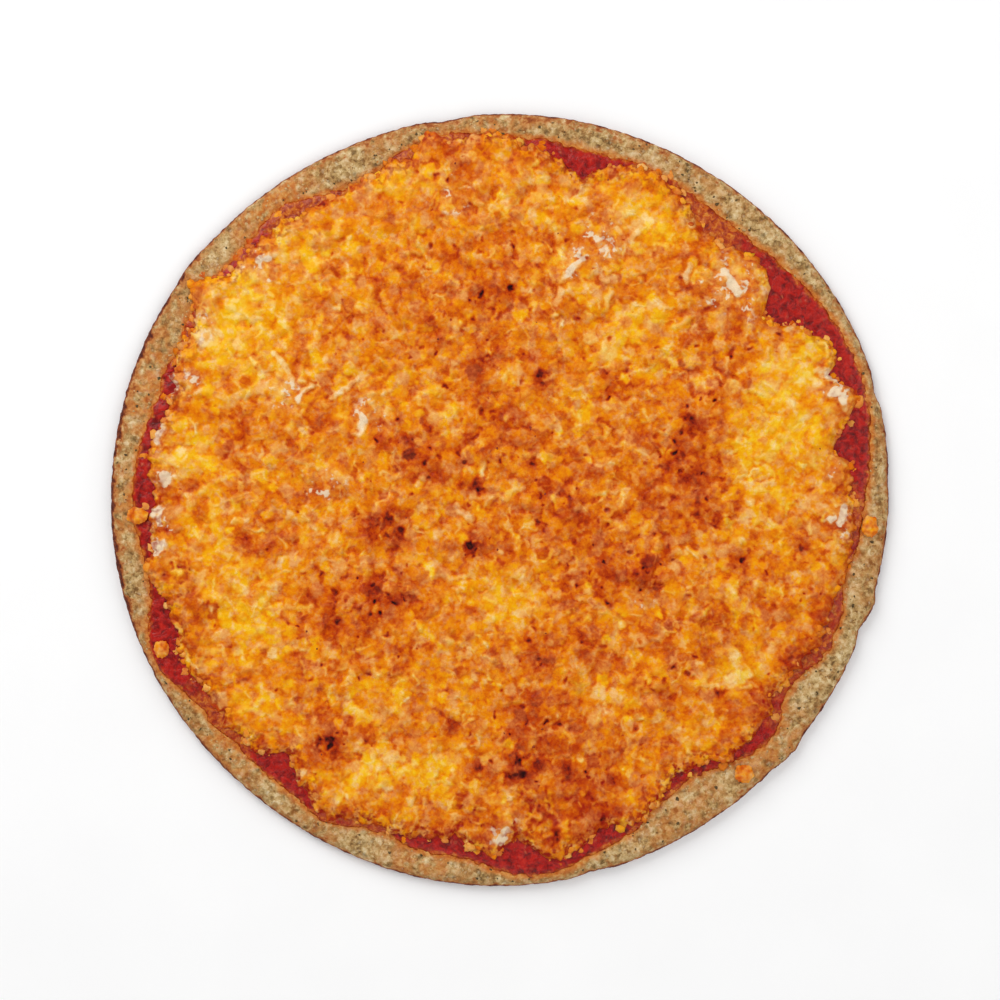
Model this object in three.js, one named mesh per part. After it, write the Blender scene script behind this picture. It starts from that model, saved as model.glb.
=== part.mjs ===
// A round, thin cauliflower crust pizza, baked whole: a speckled crust with a bare margin, a layer of
// tomato sauce that shows round its edge, a melted blanket of grated cheese with bays, lobes and
// blisters, and a few bits of cheese that fell outside it.
// Millimetres, +Z up. The origin is at the centre of the pizza's underside. Angles run anticlockwise
// from +X, seen from above, in degrees.
import * as THREE from "three";
import { ImprovedNoise } from "three/addons/math/ImprovedNoise.js";

// ---------------------------------------------------------------- driving dimensions

const CRUST = {
  radius: 127, // a ten-inch round
  bed: 5.0, // height of the flat bed that the sauce lies on
  margin: 5.4, // height of the bare margin
  shoulder: 4.5, // width of the rounding at the outer edge
  lip: 1.3, // height of the widest line of the side
  foot: 0.7, // how far the underside is drawn in below that line
  relief: 0.28, // unevenness of the bare margin
  grain: 7, // size of that unevenness
  // Rings of the bare margin: [share of the margin's width, most millimetres in from the outline].
  marginRings: [
    [0.2, 0.8],
    [0.45, 2.2],
    [0.7, 4.5],
    [0.86, 8],
  ],
};
const SAUCE = {
  radius: 118.2, // mean radius
  top: 6.0, // height of its top under the cheese
  lip: 0.35, // thickness at its edge
  slope: 1.5, // width of the sloping edge
  relief: 0.12, // unevenness where it shows
};
const CHEESE = {
  radius: 115.2, // mean radius
  thickness: 2.7, // mean thickness
  lip: 0.5, // thickness at its edge
  shoulder: 4.2, // width over which it rises from the edge
  rings: 35, // rings of triangles from the middle to the edge
  underRings: [0.9, 0.96, 0.98, 1], // rings of the underside, as shares of the radius
  thinnest: 1.0, // least thickness inside the shoulder
  settle: 4, // how fast the edge's bays and lobes fade away towards the middle
};
const SECTORS = 160; // steps round the crust and the sauce
const CLEARANCE = 2.2; // cheese and sauce stay this far inside the crust's outline
const BED_INSET = 0.93; // share of the sauce's radius up to which the bed is flat

// How far the crust's outline departs from a circle: [waves round the crust, height, phase].
const CRUST_WAVES = [
  [2, 0.77, -38],
  [3, 0.58, -104],
  [4, 0.23, -30],
  [6, 0.19, -133],
];
// Each line below is one feature of an edge: [angle, half width in degrees, how far out it goes].
const CRUST_NICKS = [
  [4, 3, -1.0],
  [16, 2.5, -0.9],
  [98, 2.5, -1.3],
  [143, 2.5, 0.9],
  [284, 3, -0.9],
  [318.5, 2.5, 1.5],
  [340, 3, -1.2],
  [343.5, 2.5, 1.3],
];
const SAUCE_EDGE = [
  [20, 26, 6.5],
  [52, 12, -1.2],
  [76, 8, -1.2],
  [98, 8, 2.5],
  [115, 11, -5.2],
  [128, 5, 1.2],
  [138, 7, -1.2],
  [155, 5, -2.8],
  [163, 5, -1.5],
  [179, 12, 2.2],
  [205, 11, 7.0],
  [218, 4, 1.8],
  [240, 5, 2.0],
  [250, 6, -2.8],
  [276, 13, 6.0],
  [303, 14, -7.5],
  [327, 8, -5.2],
  [347, 6, -2.9],
];
const CHEESE_EDGE = [
  [9.5, 3.5, -5.0],
  [16, 4.5, 6.5],
  [24, 4, 4.8],
  [34, 6, -10.5], // the deep bay at the upper right
  [51, 8, -5.8],
  [65, 5.5, 3.8],
  [77, 5.5, -7.0],
  [92, 9, 4.8],
  [101, 3.5, 8.5], // a lobe that runs to the crust's edge
  [119, 11, -2.6],
  [145, 5, 8.2], // a curl of cheese on the bare margin
  [163, 3.5, -4.2],
  [173, 4, 1.6],
  [179, 3.5, -2.8],
  [192, 4, 4.2],
  [202, 4, -1.6],
  [210, 4, 1.8],
  [220, 4, 2.0],
  [230.5, 5, -5.8],
  [241, 4.5, 3.8],
  [258, 3, -2.8],
  [263, 2.8, -4.2],
  [269, 3.5, 2.2],
  [273, 2.5, -4.0],
  [278.5, 5, 4.8],
  [288, 3, -2.6],
  [303, 9, -7.0],
  [326, 7, -3.4],
  [337, 4, 1.8],
  [355, 5, 1.6],
];
// The big blisters of the cheese: [x, y, radius, height].
const BIG_BLISTERS = [
  [12.6, 41.7, 7, 1.6],
  [61.7, 24.4, 12, 1.3],
  [45.3, -24.7, 6, 1.6],
  [-9.7, -13.6, 4.6, 1.8],
  [-38.1, -8.3, 6, 1.4],
  [-43, -36.2, 11, 1.1],
  [-52.9, -77.1, 7, 1.4],
  [6.1, -80.4, 11, 1.3],
  [86.2, 75.1, 6.5, 1.3],
  [107, 35.8, 6, 1.2],
  [102, -44.5, 4.6, 1.3],
  [20.8, -107, 6, 1.2],
  [1, -106, 5, 1.2],
  [-95.4, 70.2, 6, 1.2],
  [-18.5, 109, 6, 1.2],
];
const SMALL_BLISTERS = {
  count: 190,
  radius: [2.8, 5.2],
  height: [0.5, 1.3],
  reach: 104, // how far from the middle they are strewn
  seed: 7,
};
// The broad unevenness of the cheese: [size of the bumps, height].
const CHEESE_WAVES = [
  [38, 0.9],
  [16, 0.8],
  [8, 0.55],
];
// Bits of cheese outside the blanket: [angle, distance from the middle, length, width, height, turn].
const BITS = [
  [182.8, 118.6, 6.4, 5.6, 2.0, 20],
  [204, 121.0, 5.4, 5.0, 1.8, 60],
  [311.5, 120.2, 7.4, 4.4, 1.9, -40],
  [355.6, 120.9, 5.2, 7.2, 2.1, 0],
];
const BIT_SECTORS = 14;
// Rings of a bit, from its foot up: [share of its width, share of its height].
const BIT_RINGS = [
  [0.92, 0],
  [1, 0.3],
  [0.82, 0.72],
  [0.45, 0.95],
];

// ---------------------------------------------------------------- shared helpers

const noise = new ImprovedNoise();
const { clamp, degToRad, euclideanModulo, lerp, smoothstep } = THREE.MathUtils;

// Smooth noise of about -0.6 to 0.6 whose bumps are about `size` across.
const bumps = (x, y, size, layer = 0) => noise.noise(x / size, y / size, 3.7 * layer);

// 1 at the angle `at`, falling smoothly to 0 at `wide` degrees on either side.
function swell(angle, at, wide) {
  const away = Math.abs(euclideanModulo(angle - at + 180, 360) - 180) / wide;
  return away < 1 ? (1 - away * away) ** 2 : 0;
}

const featured = (radius, features, angle) =>
  features.reduce((sum, [at, wide, out]) => sum + out * swell(angle, at, wide), radius);

// The same row of random numbers for the same seed.
function randomFrom(seed) {
  let state = seed;
  return () => {
    state = (state * 1664525 + 1013904223) % 4294967296;
    return state / 4294967296;
  };
}

function crustRadius(angle) {
  const round = CRUST_WAVES.reduce(
    (sum, [waves, height, phase]) => sum + height * Math.cos(degToRad(waves * angle + phase)),
    CRUST.radius,
  );
  return featured(round, CRUST_NICKS, angle);
}

const within = (angle, radius) => Math.min(radius, crustRadius(angle) - CLEARANCE);
const sauceRadius = (angle) => within(angle, featured(SAUCE.radius, SAUCE_EDGE, angle));
const cheeseRadius = (angle) => within(angle, featured(CHEESE.radius, CHEESE_EDGE, angle));

// Height of the crust's rounded shoulder at a distance inside its outline.
function shoulderHeight(inside) {
  const share = 1 - clamp(inside / CRUST.shoulder, 0, 1);
  return CRUST.lip + (CRUST.margin - CRUST.lip) * Math.sqrt(1 - share * share);
}

const bedEdge = (angle) =>
  Math.min(CRUST.bed, shoulderHeight(crustRadius(angle) - sauceRadius(angle)) - 0.1);

// A ring of `count` points, one at each angle, placed by place(angle) -> [radius, height].
function ring(count, place) {
  return Array.from({ length: count }, (_, i) => {
    const angle = (360 * i) / count;
    const [radius, height] = place(angle);
    return new THREE.Vector3(
      radius * Math.cos(degToRad(angle)),
      radius * Math.sin(degToRad(angle)),
      height,
    );
  });
}

// One closed solid skinned over rings that run from the middle of its underside, outwards, up and
// back to the middle of its top. Neighbouring rings may have different numbers of points.
function skin(rings) {
  const starts = [];
  const points = [];
  for (const one of rings) {
    starts.push(points.length);
    points.push(...one);
  }
  const faces = [];
  const width = (one) => Math.hypot(one[0].x, one[0].y);
  for (let k = 1; k < rings.length; k++) {
    const [a, b] = [rings[k - 1].length, rings[k].length];
    const [first, second] = [starts[k - 1], starts[k]];
    const stepsA = a === 1 ? 0 : a;
    const stepsB = b === 1 ? 0 : b;
    // Ties go to the wider ring, so that two solids that share a band split it alike.
    const tie = width(rings[k - 1]) >= width(rings[k]) ? 0 : 1;
    let [i, j] = [0, 0];
    while (i < stepsA || j < stepsB) {
      const behind = (i + 1) * stepsB + tie <= (j + 1) * stepsA;
      const alongA = i < stepsA && (j >= stepsB || behind);
      if (alongA) {
        faces.push(first + i, first + ((i + 1) % a), second + (j % b));
        i++;
      } else {
        faces.push(first + (i % a), second + ((j + 1) % b), second + j);
        j++;
      }
    }
  }
  const geometry = new THREE.BufferGeometry().setFromPoints(points).setIndex(faces);
  geometry.computeVertexNormals();
  return geometry;
}

// ---------------------------------------------------------------- the crust

const bedRings = () => [
  ring(SECTORS, (angle) => [sauceRadius(angle), bedEdge(angle)]),
  ring(SECTORS, (angle) => [BED_INSET * sauceRadius(angle), CRUST.bed]),
  [new THREE.Vector3(0, 0, CRUST.bed)],
];

// A ring of the bare margin: `share` runs from 0 at the crust's outline to 1 at the sauce's edge,
// and where the margin is wide the ring is `furthest` millimetres in from the outline.
function marginRing([share, furthest]) {
  return ring(SECTORS, (angle) => {
    const margin = crustRadius(angle) - sauceRadius(angle);
    const depth = Math.min(furthest, share * margin);
    const radius = crustRadius(angle) - depth;
    const [x, y] = [radius * Math.cos(degToRad(angle)), radius * Math.sin(degToRad(angle))];
    const rough = CRUST.relief * (bumps(x, y, CRUST.grain) + 0.6 * bumps(x, y, CRUST.grain / 2, 1));
    const flat = smoothstep(depth, 0, CRUST.shoulder);
    return [radius, shoulderHeight(depth) + rough * lerp(0.5, 2, flat)];
  });
}

function crustGeometry() {
  const foot = ring(SECTORS, (angle) => [crustRadius(angle) - CRUST.foot, 0]);
  const side = ring(SECTORS, (angle) => [crustRadius(angle), CRUST.lip]);
  return skin([
    [new THREE.Vector3(0, 0, 0)],
    foot,
    side,
    ...CRUST.marginRings.map(marginRing),
    ...bedRings(),
  ]);
}

// ---------------------------------------------------------------- the sauce

function sauceGeometry() {
  const showing = (inset, height) =>
    ring(SECTORS, (angle) => {
      const radius = sauceRadius(angle) - inset;
      const [x, y] = [radius * Math.cos(degToRad(angle)), radius * Math.sin(degToRad(angle))];
      const sunk = CRUST.bed - bedEdge(angle);
      const dip = SAUCE.relief * (1 + bumps(x, y, CRUST.grain, 2));
      return [radius, height - dip - sunk * (1 - inset / CRUST.shoulder)];
    });
  const under = ring(SECTORS, (angle) => {
    const covered = Math.min(cheeseRadius(angle), sauceRadius(angle) - CRUST.shoulder) - 1;
    return [covered, SAUCE.top];
  });
  const [edge, inset, middle] = bedRings();
  return skin([
    middle,
    inset,
    edge,
    showing(SAUCE.lip, CRUST.bed + SAUCE.lip + SAUCE.relief),
    showing(SAUCE.slope, SAUCE.top),
    under,
    [new THREE.Vector3(0, 0, SAUCE.top)],
  ]);
}

// ---------------------------------------------------------------- the cheese

function strewnBlisters({ count, radius, height, reach, seed }) {
  const random = randomFrom(seed);
  return Array.from({ length: count }, () => {
    const away = reach * Math.sqrt(random());
    const angle = degToRad(360 * random());
    return [
      away * Math.cos(angle),
      away * Math.sin(angle),
      lerp(...radius, random()),
      lerp(...height, random()),
    ];
  });
}

const blisters = [...BIG_BLISTERS, ...strewnBlisters(SMALL_BLISTERS)];

function cheeseThickness(x, y) {
  let thickness = CHEESE.thickness;
  CHEESE_WAVES.forEach(([size, height], layer) => {
    thickness += height * bumps(x, y, size, layer + 4);
  });
  for (const [bx, by, radius, height] of blisters) {
    const away = Math.hypot(x - bx, y - by) / radius;
    if (away < 1) thickness += height * (1 - away * away) ** 1.5;
  }
  return Math.max(thickness, CHEESE.thinnest);
}

// Height of the underside: flat on the sauce, and following the crust's shoulder near the outline.
const underside = (angle, radius) =>
  SAUCE.top - CRUST.margin + shoulderHeight(crustRadius(angle) - radius);

// Radius of one of the cheese's rings, which are round in the middle.
const cheeseRing = (share, angle) =>
  share * lerp(CHEESE.radius, cheeseRadius(angle), share ** CHEESE.settle);

function cheeseGeometry() {
  const sectors = 6 * CHEESE.rings;
  const below = (share, lift = 0) =>
    ring(sectors, (angle) => {
      const radius = cheeseRing(share, angle);
      return [radius, underside(angle, radius) + lift];
    });
  const above = (k) =>
    ring(6 * k, (angle) => {
      const radius = cheeseRing(k / CHEESE.rings, angle);
      const [x, y] = [radius * Math.cos(degToRad(angle)), radius * Math.sin(degToRad(angle))];
      const inside = clamp((cheeseRadius(angle) - radius) / CHEESE.shoulder, 0, 1);
      const rise = Math.sqrt(1 - (1 - inside) ** 2);
      const full = cheeseThickness(x, y);
      return [radius, underside(angle, radius) + lerp(CHEESE.lip, full, rise)];
    });
  const top = Array.from({ length: CHEESE.rings - 1 }, (_, i) => above(CHEESE.rings - 1 - i));
  return skin([
    [new THREE.Vector3(0, 0, SAUCE.top)],
    ...CHEESE.underRings.map((share) => below(share)),
    below(1, CHEESE.lip),
    ...top,
    [new THREE.Vector3(0, 0, SAUCE.top + cheeseThickness(0, 0))],
  ]);
}

// A low lump with an uneven outline, flat underneath, about the origin.
function bitGeometry(length, width, height, layer) {
  const outline = (share, z) =>
    ring(BIT_SECTORS, (angle) => {
      const [c, s] = [Math.cos(degToRad(angle)), Math.sin(degToRad(angle))];
      const round = 0.5 / Math.hypot(c / length, s / width);
      return [share * round * (1 + 0.35 * bumps(c, s, 0.9, layer)), z];
    });
  return skin([
    [new THREE.Vector3(0, 0, 0)],
    ...BIT_RINGS.map(([share, level]) => outline(share, level * height)),
    [new THREE.Vector3(0, 0, height)],
  ]);
}

// ---------------------------------------------------------------- the pizza

const crustFinish = new THREE.MeshStandardMaterial({ color: 0xb99a63, roughness: 0.85, metalness: 0 });
const sauceFinish = new THREE.MeshStandardMaterial({ color: 0xa8170c, roughness: 0.35, metalness: 0 });
const cheeseFinish = new THREE.MeshStandardMaterial({ color: 0xe8931c, roughness: 0.45, metalness: 0 });

function named(name, geometry, material) {
  const mesh = new THREE.Mesh(geometry, material);
  mesh.name = name;
  return mesh;
}

const pizza = new THREE.Group();
pizza.add(
  named("crust", crustGeometry(), crustFinish),
  named("sauce", sauceGeometry(), sauceFinish),
  named("cheese", cheeseGeometry(), cheeseFinish),
);
BITS.forEach(([angle, distance, length, width, height, turn], i) => {
  const bit = named(`cheese_bit_${i + 1}`, bitGeometry(length, width, height, i), cheeseFinish);
  bit.position.set(
    distance * Math.cos(degToRad(angle)),
    distance * Math.sin(degToRad(angle)),
    SAUCE.top,
  );
  bit.rotation.z = degToRad(turn);
  pizza.add(bit);
});

// The outline is uneven, so its middle is brought over the origin.
const middle = new THREE.Box3().setFromObject(pizza).getCenter(new THREE.Vector3());
pizza.position.set(-middle.x, -middle.y, 0);

export default pizza;
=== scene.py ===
"""Looks of a whole baked cauliflower crust pizza, lying flat and seen from straight above.

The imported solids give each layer's outline and height. On them this script models the speckled crust
with its toasted edge, the wet sauce, the melted cheese with its lumps, strands, pits and burnt specks,
and the loose crumbs. Lengths are in millimetres until a mesh is written, in the solids' own frame.
"""

import logging
import math
from collections.abc import Callable, Iterator, Sequence
from contextlib import contextmanager
from dataclasses import dataclass, field
from enum import Enum

import bmesh
import bpy
import numpy as np
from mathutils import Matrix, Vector
from mathutils.bvhtree import BVHTree


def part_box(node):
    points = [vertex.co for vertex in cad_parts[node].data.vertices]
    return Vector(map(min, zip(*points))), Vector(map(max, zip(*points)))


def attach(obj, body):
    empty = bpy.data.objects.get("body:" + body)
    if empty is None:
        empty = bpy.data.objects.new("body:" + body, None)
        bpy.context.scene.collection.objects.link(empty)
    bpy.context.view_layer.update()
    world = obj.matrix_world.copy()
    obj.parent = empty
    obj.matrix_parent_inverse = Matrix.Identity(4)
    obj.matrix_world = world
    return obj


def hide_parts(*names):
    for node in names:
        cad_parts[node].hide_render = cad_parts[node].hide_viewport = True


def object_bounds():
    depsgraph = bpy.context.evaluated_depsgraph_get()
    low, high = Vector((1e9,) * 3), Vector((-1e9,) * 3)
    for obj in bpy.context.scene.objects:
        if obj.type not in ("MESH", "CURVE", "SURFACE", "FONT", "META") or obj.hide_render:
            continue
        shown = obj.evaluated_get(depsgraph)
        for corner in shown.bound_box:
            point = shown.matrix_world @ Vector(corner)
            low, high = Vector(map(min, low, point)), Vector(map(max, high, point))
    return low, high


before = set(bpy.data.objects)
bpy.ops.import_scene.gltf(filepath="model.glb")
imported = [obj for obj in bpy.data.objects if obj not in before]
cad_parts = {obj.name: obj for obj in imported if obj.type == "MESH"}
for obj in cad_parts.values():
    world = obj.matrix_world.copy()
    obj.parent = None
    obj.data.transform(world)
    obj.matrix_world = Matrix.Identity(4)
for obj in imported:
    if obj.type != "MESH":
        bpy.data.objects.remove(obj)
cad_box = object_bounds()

Array = np.ndarray
Piece = bpy.types.Object
Socket = bpy.types.NodeSocket

MM = 0.001
TURN = 2 * math.pi
ROOT = "root"
PHOTO_WIDTH = 327.3  # millimetres across the photograph, at the pizza
BOX_GAP = 0.005  # millimetres that every point keeps inside the solids' box
WELD = 2e-6  # metres within which two points are one
log = logging.getLogger("pizza")


# ------------------------------------------------------------------ numbers and maps


def srgb(code: str) -> tuple[float, float, float, float]:
    """Turns a colour such as "E07A1A" into linear red, green, blue and alpha.

    Args:
        code: six hexadecimal digits, as the colour looks on a screen.

    Returns:
        The same colour as a shader reads it.
    """
    shown = [int(code[i : i + 2], 16) / 255 for i in (0, 2, 4)]
    linear = [c / 12.92 if c <= 0.04045 else ((c + 0.055) / 1.055) ** 2.4 for c in shown]
    return (*linear, 1.0)


def eased(value: Array, low: float, high: float) -> Array:
    """Rises smoothly from 0 where value is low to 1 where it is high."""
    share = np.clip((value - low) / (high - low), 0.0, 1.0)
    return share * share * (3 - 2 * share)


def between(first: Array, second: Array, share: Array) -> Array:
    """Returns the value that lies share of the way from first to second."""
    return first + (second - first) * share


def degrees_from(angle: Array, centre: float) -> Array:
    """Returns how far angles, in degrees, lie from one angle, the shorter way round."""
    return np.abs((angle - centre + 180) % 360 - 180)


class Noise:
    """Smooth, seeded noise over the plane, from about -1 to 1."""

    SIZE = 256
    GAIN = 1.7  # raises the noise to about -1 to 1
    SHIFT = 37.3  # how far each finer layer is moved, so that the layers don't line up

    def __init__(self, seed: int) -> None:
        """Draws the slopes that the noise is made of."""
        turn = np.random.default_rng(seed).uniform(0, TURN, (self.SIZE, self.SIZE))
        self.slopes = np.cos(turn), np.sin(turn)

    def at(self, x: Array, y: Array, size: float) -> Array:
        """Gives the noise at places of the plane.

        Args:
            x: first coordinates.
            y: second coordinates.
            size: distance over which the noise changes.

        Returns:
            One value for each place.
        """
        u, v = x / size, y / size
        column, row = np.floor(u).astype(int), np.floor(v).astype(int)
        du, dv = u - column, v - row

        def corner(across: int, up: int) -> Array:
            """Gives the share of one corner of each place's square."""
            place = (column + across) % self.SIZE, (row + up) % self.SIZE
            return self.slopes[0][place] * (du - across) + self.slopes[1][place] * (dv - up)

        s, t = eased(du, 0, 1), eased(dv, 0, 1)
        low = between(corner(0, 0), corner(1, 0), s)
        high = between(corner(0, 1), corner(1, 1), s)
        return self.GAIN * between(low, high, t)

    def layered(self, x: Array, y: Array, size: float, layers: int = 3, keep: float = 0.55) -> Array:
        """Adds finer and weaker noise to the noise of one size.

        Args:
            x: first coordinates.
            y: second coordinates.
            size: size of the coarsest layer.
            layers: how many layers, each half as large as the one before.
            keep: strength of each layer against the one before.

        Returns:
            One value for each place.
        """
        total = np.zeros_like(np.asarray(x, float))
        for layer in range(layers):
            shift = self.SHIFT * layer
            total += keep**layer * self.at(x + shift, y - shift, size / 2**layer)
        return total


@dataclass
class Plan:
    """A square map of the pizza from above, with one value for each small square of it."""

    half: float
    pitch: float
    values: Array = field(default_factory=lambda: np.zeros((0, 0)))

    def places(self) -> tuple[Array, Array]:
        """Returns the coordinates of all the squares' middles."""
        line = np.arange(-self.half, self.half + self.pitch / 2, self.pitch)
        return np.meshgrid(line, line)

    def at(self, x: Array, y: Array, values: Array | None = None) -> Array:
        """Reads the map between its squares.

        Args:
            x: first coordinates.
            y: second coordinates.
            values: another map of the same squares, if it isn't the plan's own.

        Returns:
            One value for each place.
        """
        values = self.values if values is None else values
        last = values.shape[0] - 1.001
        u = np.clip((x + self.half) / self.pitch, 0, last)
        v = np.clip((y + self.half) / self.pitch, 0, last)
        i, j = u.astype(int), v.astype(int)
        low = between(values[j, i], values[j, i + 1], u - i)
        high = between(values[j + 1, i], values[j + 1, i + 1], u - i)
        return between(low, high, v - j)

    def blurred(self, values: Array, radius: float) -> Array:
        """Softens a map of the plan's squares.

        Args:
            values: the map.
            radius: how far each value spreads, in millimetres.

        Returns:
            The softened map.
        """
        count = values.shape[0]
        rows, columns = np.fft.fftfreq(count), np.fft.rfftfreq(count)
        spread = 2 * (math.pi * radius / self.pitch) ** 2
        keep = np.exp(-spread * (rows[:, None] ** 2 + columns[None, :] ** 2))
        return np.fft.irfft2(np.fft.rfft2(values) * keep, s=values.shape)


class Solid:
    """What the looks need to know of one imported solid: its outline and the height of its top."""

    BINS = 150  # sectors in which the outline is read
    ABOVE = 50.0  # height that rays are cast down from, in millimetres
    ROUNDS = 3  # how many times the heights are carried outwards
    NEAR = 0.05  # share of known heights that is enough to carry them

    def __init__(self, node: str) -> None:
        """Reads the solid's mesh, in millimetres.

        Args:
            node: the solid's node in the frame.
        """
        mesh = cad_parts[node].data
        points = np.empty(3 * len(mesh.vertices), np.float32)
        mesh.vertices.foreach_get("co", points)
        self.points = points.reshape(-1, 3).astype(float) / MM
        faces = [tuple(face.vertices) for face in mesh.polygons]
        self.tree = BVHTree.FromPolygons(self.points.tolist(), faces)
        x, y = self.points[:, 0], self.points[:, 1]
        angle, away = np.arctan2(y, x) % TURN, np.hypot(x, y)
        sector = (angle / TURN * self.BINS).astype(int)
        order = np.lexsort((away, sector))
        furthest = order[np.append(np.diff(sector[order]) > 0, True)]
        self.angles, self.aways = angle[furthest], away[furthest]

    def reach(self, angle: Array) -> Array:
        """Returns how far the solid reaches from the middle at each angle."""
        return np.interp(angle, self.angles, self.aways, period=TURN)

    def top(self, half: float, pitch: float, spread: float = 2.5) -> Plan:
        """Maps the height of the solid's top.

        Args:
            half: half of the map's width.
            pitch: width of its squares.
            spread: how far the heights are carried past the solid's edge.

        Returns:
            The map, filled past the solid's edge with the heights near it.
        """
        plan = Plan(half, pitch)
        x, y = plan.places()
        hits = np.full(x.shape, np.nan)
        for place in np.ndindex(x.shape):
            hit = self.tree.ray_cast((x[place], y[place], self.ABOVE), (0, 0, -1))[0]
            if hit is not None:
                hits[place] = hit.z
        known = ~np.isnan(hits)
        filled = np.where(known, hits, 0.0)
        for _ in range(self.ROUNDS):
            weight = plan.blurred(known.astype(float), spread)
            near = plan.blurred(np.where(known, filled, 0.0), spread) / np.maximum(weight, 1e-4)
            filled = np.where(known, filled, near)
            known = known | (weight > self.NEAR)
        plan.values = filled
        return plan


# ------------------------------------------------------------------ modelling


@contextmanager
def editing(piece: Piece) -> Iterator[bmesh.types.BMesh]:
    """Opens a piece in edit mode with nothing selected.

    Args:
        piece: the piece to work on.

    Yields:
        Its editable mesh, for choosing what is selected.
    """
    bpy.ops.object.select_all(action="DESELECT")
    piece.select_set(True)
    bpy.context.view_layer.objects.active = piece
    bpy.ops.object.mode_set(mode="EDIT")
    bpy.ops.mesh.select_mode(type="VERT")
    bpy.ops.mesh.select_all(action="DESELECT")
    yield bmesh.from_edit_mesh(piece.data)
    bpy.ops.object.mode_set(mode="OBJECT")


def added(name: str, add: Callable[..., set[str]], **sizes: object) -> Piece:
    """Adds a primitive, with nothing else selected.

    Args:
        name: the new piece's name.
        add: Blender's operator for the primitive.
        sizes: the operator's settings.

    Returns:
        The new piece.
    """
    bpy.ops.object.select_all(action="DESELECT")
    add(**sizes)
    piece = bpy.context.object
    piece.name = piece.data.name = name
    return piece


def choose_edges(
    model: bmesh.types.BMesh, piece: Piece, wanted: Callable[[bmesh.types.BMEdge], bool]
) -> None:
    """Selects the edges of an open piece that pass a test, and nothing else.

    Args:
        model: the piece's editable mesh.
        piece: the open piece.
        wanted: the test.
    """
    for edge in model.edges:
        edge.select_set(wanted(edge))
    bmesh.update_edit_mesh(piece.data)


def is_open(edge: bmesh.types.BMEdge) -> bool:
    """Says whether an edge has a face on one side only."""
    return edge.is_boundary


def points_of(piece: Piece) -> Array:
    """Returns a piece's points, as they are stored.

    Args:
        piece: the piece.

    Returns:
        One row for each point, in metres.
    """
    flat = np.empty(3 * len(piece.data.vertices), np.float32)
    piece.data.vertices.foreach_get("co", flat)
    return flat.reshape(-1, 3).astype(float)


def move_points(piece: Piece, points: Array) -> None:
    """Puts a piece's points, given in metres, where they belong."""
    piece.data.vertices.foreach_set("co", points.astype(np.float32).ravel())
    piece.data.update()


def inside_box(points: Array) -> Array:
    """Keeps points, in millimetres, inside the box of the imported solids."""
    low, high = (np.array(corner) / MM for corner in cad_box)
    return np.clip(points, low + BOX_GAP, high - BOX_GAP)


def paint(piece: Piece, **values: Array) -> None:
    """Stores a value of each name at every point of a piece, for its material to read.

    Args:
        piece: the piece.
        values: one value for each point, from 0 to 1, under each name.
    """
    for name, value in values.items():
        layer = piece.data.attributes.new(name, "FLOAT", "POINT")
        layer.data.foreach_set("value", np.clip(value, 0, 1).astype(np.float32))


def even_disc(name: str, parts: Sequence[int]) -> Piece:
    """Models a flat six-sided disc of even triangles.

    Args:
        name: the piece's name.
        parts: how many parts each edge is divided into, one division after the other.

    Returns:
        The disc, with corners one metre from its middle.
    """
    disc = added(name, bpy.ops.mesh.primitive_circle_add, vertices=6, radius=1.0, fill_type="TRIFAN")
    with editing(disc):
        bpy.ops.mesh.select_all(action="SELECT")
        for count in parts:
            bpy.ops.mesh.subdivide(number_cuts=count - 1)
    return disc


def even_sector(name: str, parts: Sequence[int]) -> tuple[Piece, Array, Array]:
    """Models a flat triangle of even small triangles, to be bent into a sector of a disc.

    Args:
        name: the piece's name.
        parts: how many parts each edge is divided into, one division after the other.

    Returns:
        The triangle, with each point's share of the way from its first corner to the opposite side,
        and its share of the way along that side.
    """
    sector = added(name, bpy.ops.mesh.primitive_circle_add, vertices=3, radius=1.0, fill_type="NGON")
    corners = points_of(sector)[:, :2]
    with editing(sector):
        bpy.ops.mesh.select_all(action="SELECT")
        for count in parts:
            bpy.ops.mesh.subdivide(number_cuts=count - 1)
    sides = np.linalg.inv((corners[1:] - corners[0]).T)
    weights = (points_of(sector)[:, :2] - corners[0]) @ sides.T
    share = weights.sum(axis=1)
    return sector, share, weights[:, 1] / np.maximum(share, 1e-9)


def disc_places(points: Array) -> tuple[Array, Array]:
    """Finds where a six-sided disc's points lie once it is made round.

    Args:
        points: the disc's points.

    Returns:
        Each point's share of the way to the edge, and its angle.
    """
    x, y = points[:, 0], points[:, 1]
    away = np.hypot(x, y)
    corner = np.argmax(away)
    start = math.atan2(y[corner], x[corner])
    sixth = TURN / 6
    turned = (np.arctan2(y, x) - start + 1e-7) % TURN
    side, within = np.floor(turned / sixth), turned % sixth
    share = away * np.cos(within - sixth / 2) / math.cos(sixth / 2)
    along = 0.5 + np.tan(within - sixth / 2) / (2 * math.tan(sixth / 2))
    return share, start + (side + along) * sixth


def rolled_band(name: str, around: int, along: int) -> tuple[Piece, Array, Array]:
    """Rolls a flat grid into a band that is closed round the pizza.

    Args:
        name: the piece's name.
        around: steps round the band.
        along: steps across it, from its first edge to its last.

    Returns:
        The band, still flat, with each point's angle and its step across.
    """
    grid = {"x_subdivisions": around, "y_subdivisions": along}
    band = added(name, bpy.ops.mesh.primitive_grid_add, size=2.0, **grid)
    flat = points_of(band)
    angle = (flat[:, 0] + 1) / 2 * TURN
    step = np.rint((flat[:, 1] + 1) / 2 * along).astype(int)
    return band, angle, step


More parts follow.
